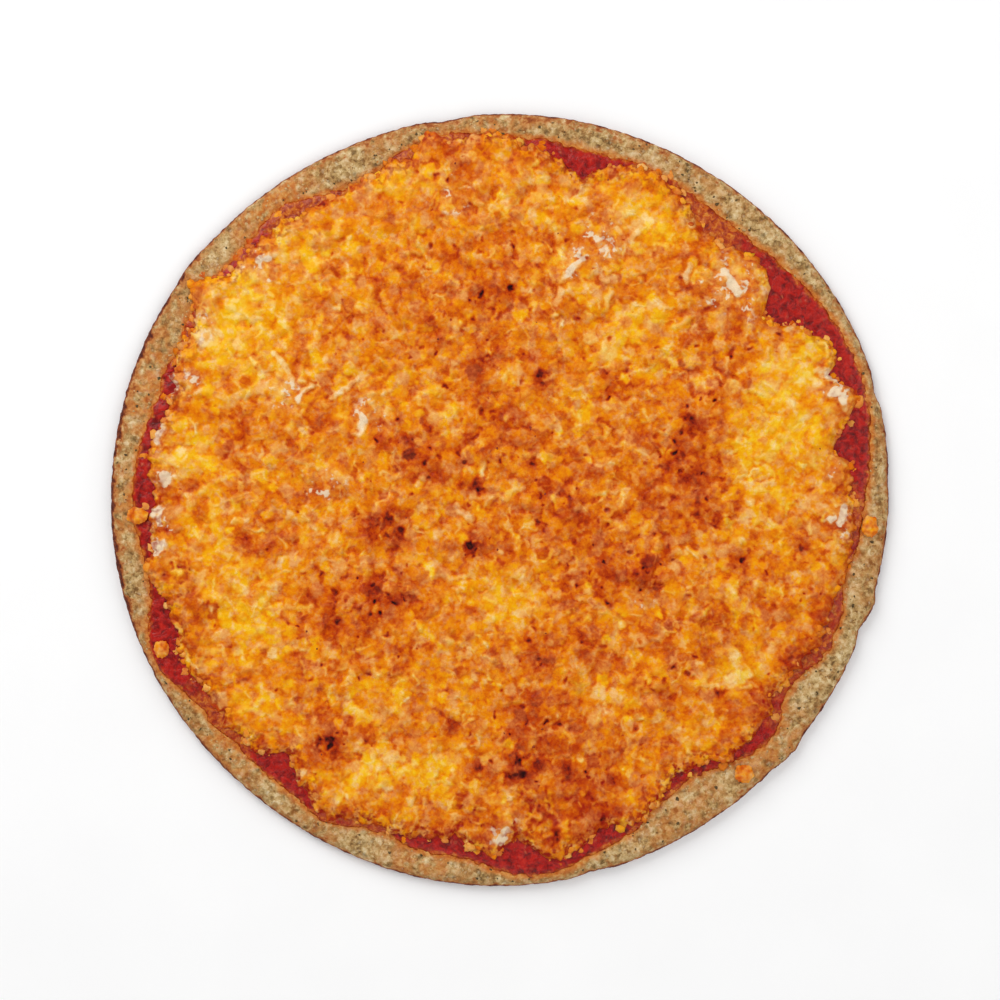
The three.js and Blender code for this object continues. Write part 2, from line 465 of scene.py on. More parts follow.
def close_edge(piece: Piece, height: Callable[[Vector], bool]) -> None:
    """Closes the open edge whose points pass a test with a fan to its middle.

    Args:
        piece: the piece with the open edge.
        height: the test of a point's place.
    """
    with editing(piece) as model:
        choose_edges(model, piece, lambda edge: is_open(edge) and all(height(end.co) for end in edge.verts))
        bpy.ops.mesh.extrude_region_move()
        bpy.ops.mesh.merge(type="CENTER")


def tidy(piece: Piece) -> None:
    """Merges a piece's doubles, turns its faces outwards and shades it smooth.

    Args:
        piece: the piece, whose shape is finished.
    """
    with editing(piece):
        bpy.ops.mesh.select_all(action="SELECT")
        bpy.ops.mesh.remove_doubles(threshold=WELD)
        bpy.ops.mesh.normals_make_consistent(inside=False)
    bpy.ops.object.shade_smooth(keep_sharp_edges=True)


def dress(piece: Piece, finish: "Finish", replaced: Sequence[str] = ()) -> None:
    """Gives a piece its material and its place in the pizza.

    Args:
        piece: the finished piece.
        finish: what it is made of.
        replaced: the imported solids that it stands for.
    """
    piece.data.materials.clear()
    piece.data.materials.append(finish.material())
    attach(piece, ROOT)
    if replaced:
        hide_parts(*replaced)
    log.info("%s: %d points, %d faces", piece.name, len(piece.data.vertices), len(piece.data.polygons))


# ------------------------------------------------------------------ finishes


@dataclass(frozen=True)
class Grains:
    """A pattern of small grains: their domes, the gaps between them and a shade for each."""

    dome: Socket
    gap: Socket
    shade: Socket


class Shader:
    """A material while its nodes are laid out. Places are read on Object coordinates."""

    DOME = (0.12, 0.45)  # distances from a grain's middle between which its dome falls off
    GAP = (0.42, 0.72)  # distances between which the gap beside it opens
    NOISE = (0.25, 0.75)  # what noise nodes mostly give

    def __init__(self, name: str) -> None:
        """Starts a material that is ready to be wired.

        Args:
            name: the material's name.
        """
        self.material = bpy.data.materials.new(name)
        self.material.use_nodes = True
        self.tree = self.material.node_tree
        self.surface = self.tree.nodes["Principled BSDF"]
        self.place = self.tree.nodes.new("ShaderNodeTexCoord").outputs["Object"]

    def put(self, socket: Socket, value: object) -> None:
        """Links a socket to another, or gives it a number or a colour.

        Args:
            socket: the socket to feed.
            value: another socket, a number or a colour.
        """
        if isinstance(value, bpy.types.NodeSocket):
            self.tree.links.new(value, socket)
        else:
            socket.default_value = value

    def read(self, name: str) -> Socket:
        """Reads a value that is stored at the piece's points.

        Args:
            name: the name that the values were stored under.

        Returns:
            The value.
        """
        node = self.tree.nodes.new("ShaderNodeAttribute")
        node.attribute_name = name
        return node.outputs["Fac"]

    def noise(self, size: float, detail: float = 2.0, rough: float = 0.5, bend: float = 0.0) -> Socket:
        """Adds noise.

        Args:
            size: size of its grains, in millimetres.
            detail: how many finer layers it has.
            rough: strength of the finer layers.
            bend: how much it is distorted.

        Returns:
            Its value, from 0 to 1.
        """
        node = self.tree.nodes.new("ShaderNodeTexNoise")
        self.put(node.inputs["Vector"], self.place)
        node.inputs["Scale"].default_value = 1 / (size * MM)
        node.inputs["Detail"].default_value = detail
        node.inputs["Roughness"].default_value = rough
        node.inputs["Distortion"].default_value = bend
        return node.outputs["Fac"]

    def wandering(self, size: float, reach: float) -> Socket:
        """Bends the places, so that a pattern on them isn't regular.

        Args:
            size: distance over which they bend, in millimetres.
            reach: how far they move, in millimetres.

        Returns:
            The bent places.
        """
        noise = self.tree.nodes.new("ShaderNodeTexNoise")
        self.put(noise.inputs["Vector"], self.place)
        noise.inputs["Scale"].default_value = 1 / (size * MM)
        moved = self.tree.nodes.new("ShaderNodeVectorMath")
        moved.operation = "MULTIPLY_ADD"
        self.put(moved.inputs[0], noise.outputs["Color"])
        moved.inputs[1].default_value = (reach * MM,) * 3
        self.put(moved.inputs[2], self.place)
        return moved.outputs["Vector"]

    def grains(self, size: float, share: float, place: Socket | None = None) -> "Grains":
        """Adds small round grains.

        Args:
            size: distance between the grains, in millimetres.
            share: how many of them are left out, from 0 to 1.
            place: bent places, if the grains are to be uneven.

        Returns:
            What the grains look like.
        """
        node = self.tree.nodes.new("ShaderNodeTexVoronoi")
        self.put(node.inputs["Vector"], place or self.place)
        node.inputs["Scale"].default_value = 1 / (size * MM)
        split = self.tree.nodes.new("ShaderNodeSeparateColor")
        self.put(split.inputs["Color"], node.outputs["Color"])
        strength = self.scaled(split.outputs["Red"], share, 1.0, 0.0, 1.0)
        dome = self.scaled(node.outputs["Distance"], *self.DOME, 1.0, 0.0)
        gap = self.scaled(node.outputs["Distance"], *self.GAP, 0.0, 1.0)
        return Grains(self.sum("MULTIPLY", dome, strength), gap, split.outputs["Green"])

    def sum(self, how: str, first: object, second: object) -> Socket:
        """Adds, multiplies or compares two values, as Blender names it, kept from 0 to 1.

        Args:
            how: the operation, as Blender names it.
            first: a socket or a number.
            second: the same.

        Returns:
            The result.
        """
        node = self.tree.nodes.new("ShaderNodeMath")
        node.operation, node.use_clamp = how, True
        self.put(node.inputs[0], first)
        self.put(node.inputs[1], second)
        return node.outputs["Value"]

    def scaled(self, value: Socket, low: float, high: float, to_low: float, to_high: float) -> Socket:
        """Moves a value from one range to another, and keeps it there.

        Args:
            value: the value.
            low: lowest value that counts.
            high: highest value that counts.
            to_low: what the lowest becomes.
            to_high: what the highest becomes.

        Returns:
            The moved value.
        """
        node = self.tree.nodes.new("ShaderNodeMapRange")
        for socket, number in zip(node.inputs[1:5], (low, high, to_low, to_high)):
            socket.default_value = number
        self.put(node.inputs["Value"], value)
        return node.outputs["Result"]

    def varied(self, value: Socket, noise: Socket, depth: float) -> Socket:
        """Adds noise of a given depth, centred on nought, to a value.

        Args:
            value: the value.
            noise: noise from 0 to 1.
            depth: how far the noise moves the value.

        Returns:
            The moved value.
        """
        node = self.tree.nodes.new("ShaderNodeMath")
        self.put(node.inputs[0], value)
        self.put(node.inputs[1], self.scaled(noise, *self.NOISE, -depth, depth))
        return node.outputs["Value"]

    def ramp(self, value: Socket, stops: Sequence[tuple[float, str]]) -> Socket:
        """Turns a value into a colour.

        Args:
            value: the value, from 0 to 1.
            stops: places on the ramp with their colours.

        Returns:
            The colour.
        """
        node = self.tree.nodes.new("ShaderNodeValToRGB")
        points = node.color_ramp.elements
        for place, code in stops[2:]:
            points.new(place)
        for point, (place, code) in zip(points, stops):
            point.position, point.color = place, srgb(code)
        self.put(node.inputs["Fac"], value)
        return node.outputs["Color"]

    def blend(self, share: object, first: object, second: object, how: str = "MIX") -> Socket:
        """Mixes two colours.

        Args:
            share: how much of the second.
            first: a colour socket, or a colour as six digits.
            second: the same.
            how: the way of mixing, as Blender names it.

        Returns:
            The mixed colour.
        """
        node = self.tree.nodes.new("ShaderNodeMix")
        node.data_type, node.blend_type = "RGBA", how
        self.put(node.inputs[0], share)
        for socket, colour in zip((node.inputs[6], node.inputs[7]), (first, second)):
            self.put(socket, srgb(colour) if isinstance(colour, str) else colour)
        return node.outputs[2]

    def bump(
        self, height: Socket, depth: float, strength: float = 1.0, under: Socket | None = None
    ) -> Socket:
        """Adds relief too fine for the mesh.

        Args:
            height: the relief, from 0 to 1.
            depth: its depth, in millimetres.
            strength: how much of it shows.
            under: coarser relief that it lies on.

        Returns:
            The bent normal.
        """
        node = self.tree.nodes.new("ShaderNodeBump")
        self.put(node.inputs["Height"], height)
        node.inputs["Distance"].default_value = depth * MM
        node.inputs["Strength"].default_value = strength
        if under is not None:
            self.put(node.inputs["Normal"], under)
        return node.outputs["Normal"]

    def finish(self, colour: Socket, normal: Socket, **sockets: object) -> bpy.types.Material:
        """Wires the surface.

        Args:
            colour: the base colour.
            normal: the bent normal.
            sockets: the other sockets, with _ for each space in their names.

        Returns:
            The finished material.
        """
        self.put(self.surface.inputs["Base Color"], colour)
        self.put(self.surface.inputs["Normal"], normal)
        for name, value in sockets.items():
            self.put(self.surface.inputs[name.replace("_", " ")], value)
        return self.material


@dataclass(frozen=True)
class Finish:
    """What a piece is made of. Each kind of finish lays out its own material."""

    name: str

    def material(self) -> bpy.types.Material:
        """Returns the finish's material, made the first time that it is asked for."""
        return bpy.data.materials.get(self.name) or self.laid_out(Shader(self.name))

    def laid_out(self, shader: Shader) -> bpy.types.Material:
        """Lays out the material's nodes."""
        raise NotImplementedError


@dataclass(frozen=True)
class CheeseFinish(Finish):
    """Melted cheddar and mozzarella.

    Its points store tone, from burnt to bright yellow, pale, the share of whitish cheese, red, the
    share of sauce that has come through, and how many pale specks show on the grains' domes, which
    are partly dry cheese and partly painted glints.
    """

    name: str = "melted_cheese"
    roughness: float = 0.42
    wetter: float = 0.12
    drier: float = 0.14
    shine: float = 0.07
    pebble: float = 1.8
    dot: float = 1.05
    wander: float = 1.5
    painted_gap_shade: float = 0.04
    pale_specks_and_glints: float = 0.5

    def laid_out(self, shader: Shader) -> bpy.types.Material:
        """Lays out the material's nodes.

        Args:
            shader: the material, ready to be wired.

        Returns:
            The finished material.
        """
        bent = shader.wandering(self.wander, self.wander)
        pebble = shader.grains(self.pebble, share=0.25, place=bent)
        dot = shader.grains(self.dot, share=0.4, place=bent)
        mottle = shader.noise(1.3, detail=2, rough=0.6, bend=0.5)
        tone = shader.varied(shader.read("tone"), mottle, depth=0.07)
        tone = shader.varied(tone, pebble.shade, depth=0.03)
        # Painted shade: the gaps between the pebbles are made darker.
        tone = shader.sum("SUBTRACT", tone, shader.sum("MULTIPLY", pebble.gap, self.painted_gap_shade))
        domes = shader.sum("MAXIMUM", pebble.dome, dot.dome)
        cheddar = [
            (0.0, "22070A"), (0.1, "64160E"), (0.2, "9A2605"), (0.3, "B83C02"), (0.4, "CB5502"),
            (0.5, "DC7002"), (0.6, "E88602"), (0.7, "EE9C03"), (0.8, "F2AE0A"), (0.9, "F4BC1C"),
            (1.0, "F6CA3C"),
        ]
        peach = [
            (0.1, "7E2C14"), (0.3, "B04C20"), (0.45, "CE7036"), (0.6, "E29650"), (0.75, "EEB470"),
            (0.88, "F4CA94"), (1.0, "F8DDB8"),
        ]
        # Pale specks on the grains' domes: partly dry cheese, partly painted glints.
        pale_specks_and_glints = shader.sum("MULTIPLY", domes, shader.read("grain"))
        pale_and_glints = shader.sum("ADD", shader.read("pale"), shader.sum("MULTIPLY", pale_specks_and_glints, self.pale_specks_and_glints))
        colour = shader.blend(pale_and_glints, shader.ramp(tone, cheddar), shader.ramp(tone, peach))
        white = shader.scaled(shader.read("pale"), low=0.8, high=1.0, to_low=0.0, to_high=0.8)
        colour = shader.blend(white, colour, "F0DEBE")
        uneven = shader.noise(1.4, detail=2, rough=0.5)
        stain = shader.scaled(uneven, low=0.3, high=0.7, to_low=0.6, to_high=1.15)
        colour = shader.blend(shader.sum("MULTIPLY", shader.read("red"), stain), colour, "9C1A0C")
        wet = shader.scaled(
            shader.noise(2.2, detail=2),
            low=0.35,
            high=0.65,
            to_low=self.roughness - self.wetter,
            to_high=self.roughness + self.drier,
        )
        coarse = shader.bump(shader.noise(1.6, detail=2, rough=0.6), depth=0.3, strength=0.45)
        relief = shader.bump(domes, depth=0.2, strength=0.5, under=coarse)
        return shader.finish(colour, relief, Roughness=wet, Specular_IOR_Level=self.shine)


@dataclass(frozen=True)
class SauceFinish(Finish):
    """Wet tomato sauce. Its points store thin, where it has dried at its edge, and pulp."""

    name: str = "tomato_sauce"
    roughness: float = 0.28
    shine: float = 0.26
    mottle: float = 2.2
    pulp: float = 1.9

    def laid_out(self, shader: Shader) -> bpy.types.Material:
        """Lays out the material's nodes.

        Args:
            shader: the material, ready to be wired.

        Returns:
            The finished material.
        """
        mottle = shader.noise(self.mottle, detail=4, rough=0.65, bend=0.6)
        stops = [(0.3, "4E0404"), (0.43, "880A06"), (0.55, "AC140A"), (0.68, "BE2213"), (0.8, "C23A22")]
        colour = shader.ramp(mottle, stops)
        bits = shader.grains(self.pulp, share=0.5, place=shader.wandering(size=1.6, reach=1.5)).dome
        colour = shader.blend(shader.sum("MULTIPLY", bits, shader.read("pulp")), colour, "C45C3A")
        oily = shader.ramp(
            shader.noise(2.0, detail=3, rough=0.65, bend=0.6),
            [(0.3, "7A1E0C"), (0.45, "A83C0E"), (0.55, "C46014"), (0.7, "DC8E34")],
        )
        colour = shader.blend(shader.read("thin"), colour, oily)
        coarse = shader.bump(mottle, depth=0.7, strength=0.7)
        relief = shader.bump(bits, depth=0.3, strength=0.7, under=coarse)
        return shader.finish(colour, relief, Roughness=self.roughness, Specular_IOR_Level=self.shine)


@dataclass(frozen=True)
class CrustFinish(Finish):
    """Baked cauliflower dough. Its points store toast, how browned it is, and oil, how stained."""

    name: str = "cauliflower_crust"
    roughness: float = 0.8
    shine: float = 0.2
    crumb: float = 1.5
    crumb_share: float = 0.5
    fleck: float = 2.9
    fleck_share: float = 0.85
    wander: float = 1.5

    def laid_out(self, shader: Shader) -> bpy.types.Material:
        """Lays out the material's nodes.

        Args:
            shader: the material, ready to be wired.

        Returns:
            The finished material.
        """
        mottle = shader.noise(2.0, detail=4, rough=0.7, bend=0.3)
        mottle = shader.varied(mottle, shader.noise(8.0, detail=2), depth=0.08)
        bent = shader.wandering(self.wander, self.wander)
        crumb = shader.grains(self.crumb, share=0.3, place=bent)
        fleck = shader.grains(self.fleck, share=0.62, place=bent)
        mottle = shader.varied(mottle, crumb.shade, depth=0.07)
        stops = [(0.3, "664A28"), (0.41, "987646"), (0.5, "B6935C"), (0.59, "CCAD78"), (0.75, "E4CEA2")]
        colour = shader.ramp(mottle, stops)
        wide = shader.noise(6.0, detail=3, rough=0.6)
        warm = shader.scaled(wide, low=0.48, high=0.68, to_low=0.0, to_high=0.35)
        colour = shader.blend(warm, colour, "BE7C3E")
        colour = shader.blend(shader.sum("MULTIPLY", fleck.dome, self.fleck_share), colour, "54401E")
        colour = shader.blend(shader.sum("MULTIPLY", crumb.dome, self.crumb_share), colour, "E6D2AE")
        oiled = shader.ramp(
            shader.noise(1.9, detail=3, rough=0.65, bend=0.4),
            [(0.3, "B04A10"), (0.5, "CC7424"), (0.65, "DA9A50"), (0.8, "E0B47C")],
        )
        colour = shader.blend(shader.read("oil"), colour, oiled)
        browned = shader.varied(shader.read("toast"), shader.noise(1.5, detail=3, rough=0.65), depth=0.28)
        crisp = [(0.25, "BE7A3E"), (0.45, "A45A28"), (0.65, "823C1A"), (0.85, "662A14"), (1.0, "48180E")]
        share = shader.scaled(browned, low=0.12, high=0.42, to_low=0.0, to_high=1.0)
        colour = shader.blend(share, colour, shader.ramp(browned, crisp))
        coarse = shader.bump(mottle, depth=0.5, strength=0.7)
        relief = shader.bump(crumb.dome, depth=0.35, strength=0.8, under=coarse)
        return shader.finish(colour, relief, Roughness=self.roughness, Specular_IOR_Level=self.shine)


@dataclass(frozen=True)
class SpeckFinish(Finish):
    """Small crumbs of one colour, mottled from one to the next."""

    name: str
    dark: str
    light: str
    roughness: float = 0.7
    shine: float = 0.35

    def laid_out(self, shader: Shader) -> bpy.types.Material:
        """Lays out the material's nodes.

        Args:
            shader: the material, ready to be wired.

        Returns:
            The finished material.
        """
        colour = shader.ramp(shader.noise(1.1, detail=3, rough=0.6), [(0.3, self.dark), (0.7, self.light)])
        relief = shader.bump(shader.noise(0.4, detail=2, rough=0.6), depth=0.1, strength=0.8)
        return shader.finish(colour, relief, Roughness=self.roughness, Specular_IOR_Level=self.shine)


@dataclass(frozen=True)
class FloorFinish(Finish):
    """Plain pale studio floor."""

    name: str = "pale_floor"
    roughness: float = 0.9

    def laid_out(self, shader: Shader) -> bpy.types.Material:
        """Lays out the material's nodes.

        Args:
            shader: the material, ready to be wired.

        Returns:
            The finished material.
        """
        colour = shader.ramp(shader.noise(40.0, detail=2), [(0.3, "FDFDFD"), (0.7, "FFFFFF")])
        relief = shader.bump(shader.noise(3.0, detail=2), depth=0.01, strength=0.1)
        return shader.finish(colour, relief, Roughness=self.roughness)


# ------------------------------------------------------------------ what is where on the cheese


class Look(Enum):
    """How a patch of the cheese differs from the rest."""

    YELLOW = "bright and hardly browned"
    BROWNED = "baked to an orange brown"
    OLIVE = "baked to a duller brown"
    RED = "stained by sauce from below"
    PALE = "whitish mozzarella"
    BURNT = "nearly black"


# Patches of the cheese, seen from above: [x, y, radius, strength].
PATCHES: dict[Look, list[tuple[float, float, float, float]]] = {
    Look.YELLOW: [
        (-85, 56, 18, 0.9), (-77, 42, 10, 0.5), (-101, 13, 7, 0.9), (-65, 85, 10, 0.6),
        (-34, 105, 8, 0.5), (-78, -39, 12, 0.6), (-91, -20, 12, 0.5), (-23, -87, 8, 0.9),
        (-40, -65, 7, 0.5), (-82, -67, 5, 0.8), (49, 93, 10, 0.8), (45, 60, 8, 0.7),
        (39, 48, 8, 0.6), (93, 38, 10, 1.0), (84, 20, 11, 0.9), (98, 23, 9, 0.9),
        (90, 0, 9, 0.5), (79, -54, 8, 0.6), (2, -33, 11, 0.45), (-41, -88, 8, 0.6),
        (103, 51, 6, 0.6), (46, -65, 9, 0.25), (-23, 30, 7, 0.4), (20, 100, 9, 0.3),
        (77, -25, 7, 0.35),
    ],
    Look.BROWNED: [
        (13, 41, 5, 1.0), (-6, 46, 8, 0.5), (-3, 66, 11, 0.5), (-23, 61, 12, 0.35),
        (-29, 16, 11, 0.65), (0, 20, 11, 0.6), (20, -2, 14, 0.6), (56, 0, 14, 0.55),
        (46, -25, 7, 0.85), (33, -20, 12, 0.5), (-39, -8, 6, 1.0), (-9, -15, 4, 1.0),
        (-39, -31, 8, 1.0), (-49, -39, 12, 0.7), (-62, -36, 7, 0.5), (-32, -51, 6, 0.5),
        (10, -50, 8, 0.5), (30, -48, 6, 0.6), (13, -73, 11, 0.8), (6, -87, 7, 1.0),
        (26, -88, 10, 0.6), (-54, -79, 6, 0.9), (-17, -74, 4, 0.6), (18, -108, 4, 0.7),
        (33, -103, 9, 0.45), (108, -34, 6, 0.7), (98, -51, 5, 0.6), (98, -16, 4, 0.5),
        (80, -21, 5, 0.5), (-18, 112, 7, 0.4), (3, 78, 5, 0.6), (-88, 18, 8, 0.35),
        (-49, 13, 9, 0.12), (-80, -15, 5, 0.5), (71, 40, 7, 0.4), (39, 39, 7, 0.45),
        (50, -58, 9, 0.22), (-30, -79, 8, 0.25),
    ],
    Look.OLIVE: [(62, 22, 11, 0.9), (67, 10, 8, 0.6), (-51, 12, 5, 0.15), (-15, 79, 5, 0.4)],
    Look.RED: [
        (36, 69, 4, 0.7), (23, 60, 5, 0.6), (69, 61, 6, 0.7), (72, -41, 9, 0.6),
        (-70, 93, 5, 1.2), (-56, 86, 4, 0.4), (-101, -30, 3.5, 0.9), (77, 84, 7, 0.6),
        (66, 97, 8, 0.8), (-20, -112, 7, 0.6), (36, -105, 8, 0.5), (89, -70, 7, 0.6),
        (62, -88, 6, 0.6), (7, -110, 5, 0.9), (20, 115, 5, 0.8),
        (-110, -0.5, 2.6, 1.0), (-104, -26, 4, 1.4), (-99, -34, 4, 1.3), (12, -101, 9, 1.2),
        (-9, -105, 8, 1.15), (29, -99, 8, 1.05), (84, -66, 6, 0.9), (98, -48, 5, 0.7),
    ],
    Look.PALE: [
        (-77, 78, 5, 0.9), (-99, 58, 4.5, 0.8), (-107, 39, 5, 1.0), (-110, 7, 3.3, 0.9), (-111, 21, 3.5, 0.9),
        (-111, -7, 3.3, 0.9), (-112, -16, 3.6, 1.0), (-70, 35, 5, 0.5), (-56, 7, 6, 0.35),
        (-42, 28, 6, 0.4), (33, 84, 7, 0.5), (74, 69, 8, 0.7), (80, 76, 5, 0.6),
        (111, 37, 5.5, 0.9), (111, -7, 4, 0.8), (109, 10, 4, 0.5), (-16, 97, 6, 0.4),
        (46, -33, 2.6, 0.4), (0, -110, 4, 0.7), (-10, -113, 3.3, 0.5), (25, 80, 5, 0.5),
    ],
    Look.BURNT: [
        (-32.6, -9.8, 1.3, 1.0), (-10, -14, 1.5, 1.0), (-36, -6, 1.3, 0.8), (13.5, 41, 1.6, 0.8),
        (-55.5, -78.5, 1.5, 1.0), (66.6, -35, 1.0, 1.0), (71, -63, 1.1, 0.9), (18.5, -108, 1.8, 0.9),
        (-12.5, 5.5, 1.0, 0.7), (-46, -35, 1.2, 0.8), (44, -24, 1.4, 0.8), (-7, -87, 1.2, 0.7),
        (7, -89, 1.5, 0.8), (89, -34, 1.0, 0.8), (0, 60, 1.1, 0.6), (63, 26, 1.1, 0.6),
    ],
}


@dataclass(frozen=True)
class Shreds:
    """One kind of grated shred that has melted into the cheese."""

    count: int
    length: tuple[float, float]
    width: tuple[float, float]
    height: tuple[float, float]
    bend: float
    tone: tuple[float, float]
    pale: tuple[float, float]


# What each look adds to the tone of the cheese, which runs from 0, burnt, to 1, bright yellow.
TONES = {
    Look.YELLOW: 0.26,
    Look.BROWNED: -0.28,
    Look.OLIVE: -0.2,
    Look.BURNT: -0.42,
    Look.RED: -0.08,
}

# Mozzarella that is seen strand by strand: [x, y, heading, length, width, bend].
MOZZARELLA = [
    (110.3, 37.5, 1.15, 11, 3, 0.05), (106.5, 41, 2.6, 9, 2.8, 0.05), (112, 31, 1.6, 6, 1.8, 0),
    (-66, -90.5, 0.9, 8.5, 1.5, 0), (24.5, 76, 0.75, 12, 2, 0), (33, 73, -0.6, 6.5, 1.8, 0),
    (19.5, 66, 1.2, 8, 1.7, 0.05), (-111, -15, 0.5, 7, 3.4, 0.05), (-108.8, 38.6, 1.3, 12, 3, 0),
    (75, 71, -1, 11, 2.6, 0), (61, 73.5, 1.3, 7, 1.6, 0), (96, 57.5, 0.9, 8, 2, 0),
    (-76, 79, 0.3, 9, 2.2, 0), (111.5, -5, 1.3, 8, 2.2, 0.03), (1, -109.5, 1, 8, 2.4, 0),
    (-111, 21.5, 1.3, 8, 3, 0), (43.5, 86, 0.9, 6, 1.8, 0), (-69.5, 43, 2.1, 14, 1.2, 0.03),
    (-64, 35, 0.8, 9, 1.4, -0.04), (-50.5, 36, 0.6, 13, 1.2, 0.02), (-12, -4, -0.75, 9, 2, 0),
    (-45, 24, 1.3, 9, 2.6, 0.05), (-109, 7, 1.4, 6, 3.2, 0), (-112, -3.5, 0.4, 6, 3.2, 0),
]


@dataclass
class CheeseMap:
    """Maps of the melted cheese: its fine relief, and what each bit of it looks like."""

    half: float = 124.0
    pitch: float = 0.26
    seed: int = 11
    reach: float = 119.0
    wander: float = 0.8
    bend: float = 3.0
    base: float = 0.6
    palest: float = 0.8
    # How much the crests are lightened and the hollows darkened: painted light and painted shade.
    painted_crest_light: float = 0.04
    painted_hollow_shade: float = 0.14
    creamy: float = 0.75
    blotched: float = 0.32
    curds: int = 7500
    melted: Shreds = Shreds(900, (4, 10), (1.4, 2.4), (0.15, 0.4), 0.05, (0.0, 0.06), (0.0, 0.25))
    pulled: Shreds = Shreds(3600, (1.8, 6), (0.8, 1.6), (0.06, 0.2), 0.12, (0.02, 0.06), (0.0, 0.5))
    pits: int = 2600

    def __post_init__(self) -> None:
        """Makes all the maps."""
        self.plan = Plan(self.half, self.pitch)
        self.random = np.random.default_rng(self.seed)
        self.noise = Noise(self.seed)
        self.x, self.y = self.plan.places()
        self.bent_x = self.x + self.wander * self.noise.layered(self.x, self.y, self.bend, 2)
        self.bent_y = self.y + self.wander * self.noise.layered(self.y + 50, self.x, self.bend, 2)
        self.place_patches()
        self.relief, self.pale = np.zeros_like(self.x), np.zeros_like(self.x)
        self.tone = np.zeros_like(self.x)
        self.pack_curds()
        self.relief += 0.5 * self.noise.layered(self.x, self.y, 9, 2)
        self.tone += self.base + 0.05 * self.noise.layered(self.x, self.y, 13, 2)
        self.tone += 0.115 * self.noise.layered(self.x + 3, self.y, 5.5, 2)
        self.press(self.melted)
        self.soften()
        self.press(self.pulled)
        self.pale = np.minimum(self.pale, self.palest)
        self.press_mozzarella()
        fine = self.noise.layered(self.x, self.y, 1.1, 2, 0.7)
        self.relief += 0.06 * fine
        self.tone += 0.035 * fine
        self.sink_pits()
        self.settle()

    def place_patches(self) -> None:
        """Makes one map for each look out of its patches, with uneven edges."""
        wide = 3.0
        x = self.x + wide * self.noise.layered(self.x + 9, self.y, 9, 3)
        y = self.y + wide * self.noise.layered(self.y + 90, self.x, 9, 3)
        self.looks = {}
        for look, patches in PATCHES.items():
            total = np.zeros_like(self.x)
            near_x, near_y = (self.bent_x, self.bent_y) if look is Look.BURNT else (x, y)
            for px, py, radius, strength in patches:
                spread = ((near_x - px) ** 2 + (near_y - py) ** 2) / radius**2
                total = np.maximum(total, strength * np.exp(-0.8 * spread**1.3))
            self.looks[look] = total

    def window(self, x: float, y: float, reach: float) -> tuple[slice, slice]:
        """Returns the rows and columns of the maps within reach of a place.

        Args:
            x: the place's first coordinate.
            y: its second coordinate.
            reach: how far the window reaches.

        Returns:
            Slices of the maps' rows and columns.
        """
        low = [max(int((c - reach + self.half) / self.pitch), 0) for c in (y, x)]
        high = [int((c + reach + self.half) / self.pitch) + 2 for c in (y, x)]
        return slice(low[0], high[0]), slice(low[1], high[1])

    def scattered(self, count: int) -> Array:
        """Returns count places strewn evenly over the pizza.

        Args:
            count: how many.

        Returns:
            One row for each place.
        """
        away = self.reach * np.sqrt(self.random.uniform(0, 1, count))
        angle = self.random.uniform(0, TURN, count)
        return np.stack([away * np.cos(angle), away * np.sin(angle)], 1)

    def pack_curds(self) -> None:
        """Packs rounded curds over and beside each other, each with a shade of its own."""
        draw = self.random.uniform
        for x, y in self.scattered(self.curds):
            radius, level, height = draw(0.9, 3.2), draw(0, 0.45), draw(0.25, 0.65)
            shade = self.random.normal(0, 0.075)
            pale = draw(0.3, 0.95) if draw() < 0.26 - 0.05 * radius else 0.0
            w = self.window(x, y, radius + 2 * self.wander)
            away = np.hypot(self.bent_x[w] - x, self.bent_y[w] - y) / radius
            raised = level + height * np.sqrt(np.clip(1 - away**2, 0, 1))
            over = (away < 1) & (raised > self.relief[w])
            self.relief[w] = np.where(over, raised, self.relief[w])
            self.tone[w] = np.where(over, shade, self.tone[w])
            self.pale[w] = np.where(over, pale, self.pale[w])

    def press(self, kind: Shreds) -> None:
        """Lays one kind of shred on the cheese, one by one.

        Args:
            kind: the shreds to lay.
        """
        draw = self.random.uniform
        for x, y in self.scattered(kind.count):
            self.lay(
                (x, y), draw(0, TURN), draw(*kind.length), draw(*kind.width), draw(-kind.bend, kind.bend),
                draw(*kind.height), self.random.normal(*kind.tone), draw(*kind.pale),
            )

    def press_mozzarella(self) -> None:
        """Lays the strands of mozzarella that are seen one by one."""
        for x, y, heading, length, width, bend in MOZZARELLA:
            pale = 0.6 + 0.12 * width
            self.lay(
                (x, y), heading, length, width + 0.7, bend, height=0.4, tone=0.14, pale=pale, loose=0.7
            )

    def lay(
        self,
        middle: tuple[float, float],
        heading: float,
        length: float,
        width: float,
        bend: float,
        height: float,
        tone: float,
        pale: float,
        loose: float = 1.0,
    ) -> None:
        """Lays one shred.

        Args:
            middle: where its middle is.
            heading: the way it points.
            length: its length.
            width: its width.
            bend: how much it is bowed.
            height: how far it stands up.
            tone: what it adds to the tone.
            pale: how whitish it is.
            loose: how far it has lost its straight edges.
        """
        reach, radius = length / 2, width / 2
        w = self.window(*middle, reach + radius + 2 * self.wander)
        dx = between(self.x[w], self.bent_x[w], loose) - middle[0]
        dy = between(self.y[w], self.bent_y[w], loose) - middle[1]
        along = dx * math.cos(heading) + dy * math.sin(heading)
        across = dy * math.cos(heading) - dx * math.sin(heading) - bend * along**2
        past = np.maximum(np.abs(along) - reach + radius, 0)
        dome = np.sqrt(np.clip(1 - (past**2 + across**2) / radius**2, 0, 1))
        self.relief[w] += height * dome
        self.tone[w] += tone * dome
        self.pale[w] = between(self.pale[w], pale, dome)

    def soften(self) -> None:
        """Melts the lumps into each other, more in some places than in others."""
        melted, crisp = self.plan.blurred(self.relief, 0.65), self.plan.blurred(self.relief, 0.25)
        share = eased(self.noise.layered(self.x + 31, self.y, 8, 2), -0.5, 0.6)
        self.relief = between(crisp, melted, share)
        self.tone = self.plan.blurred(self.tone, 0.22)
        self.pale = self.plan.blurred(self.pale, 0.22)

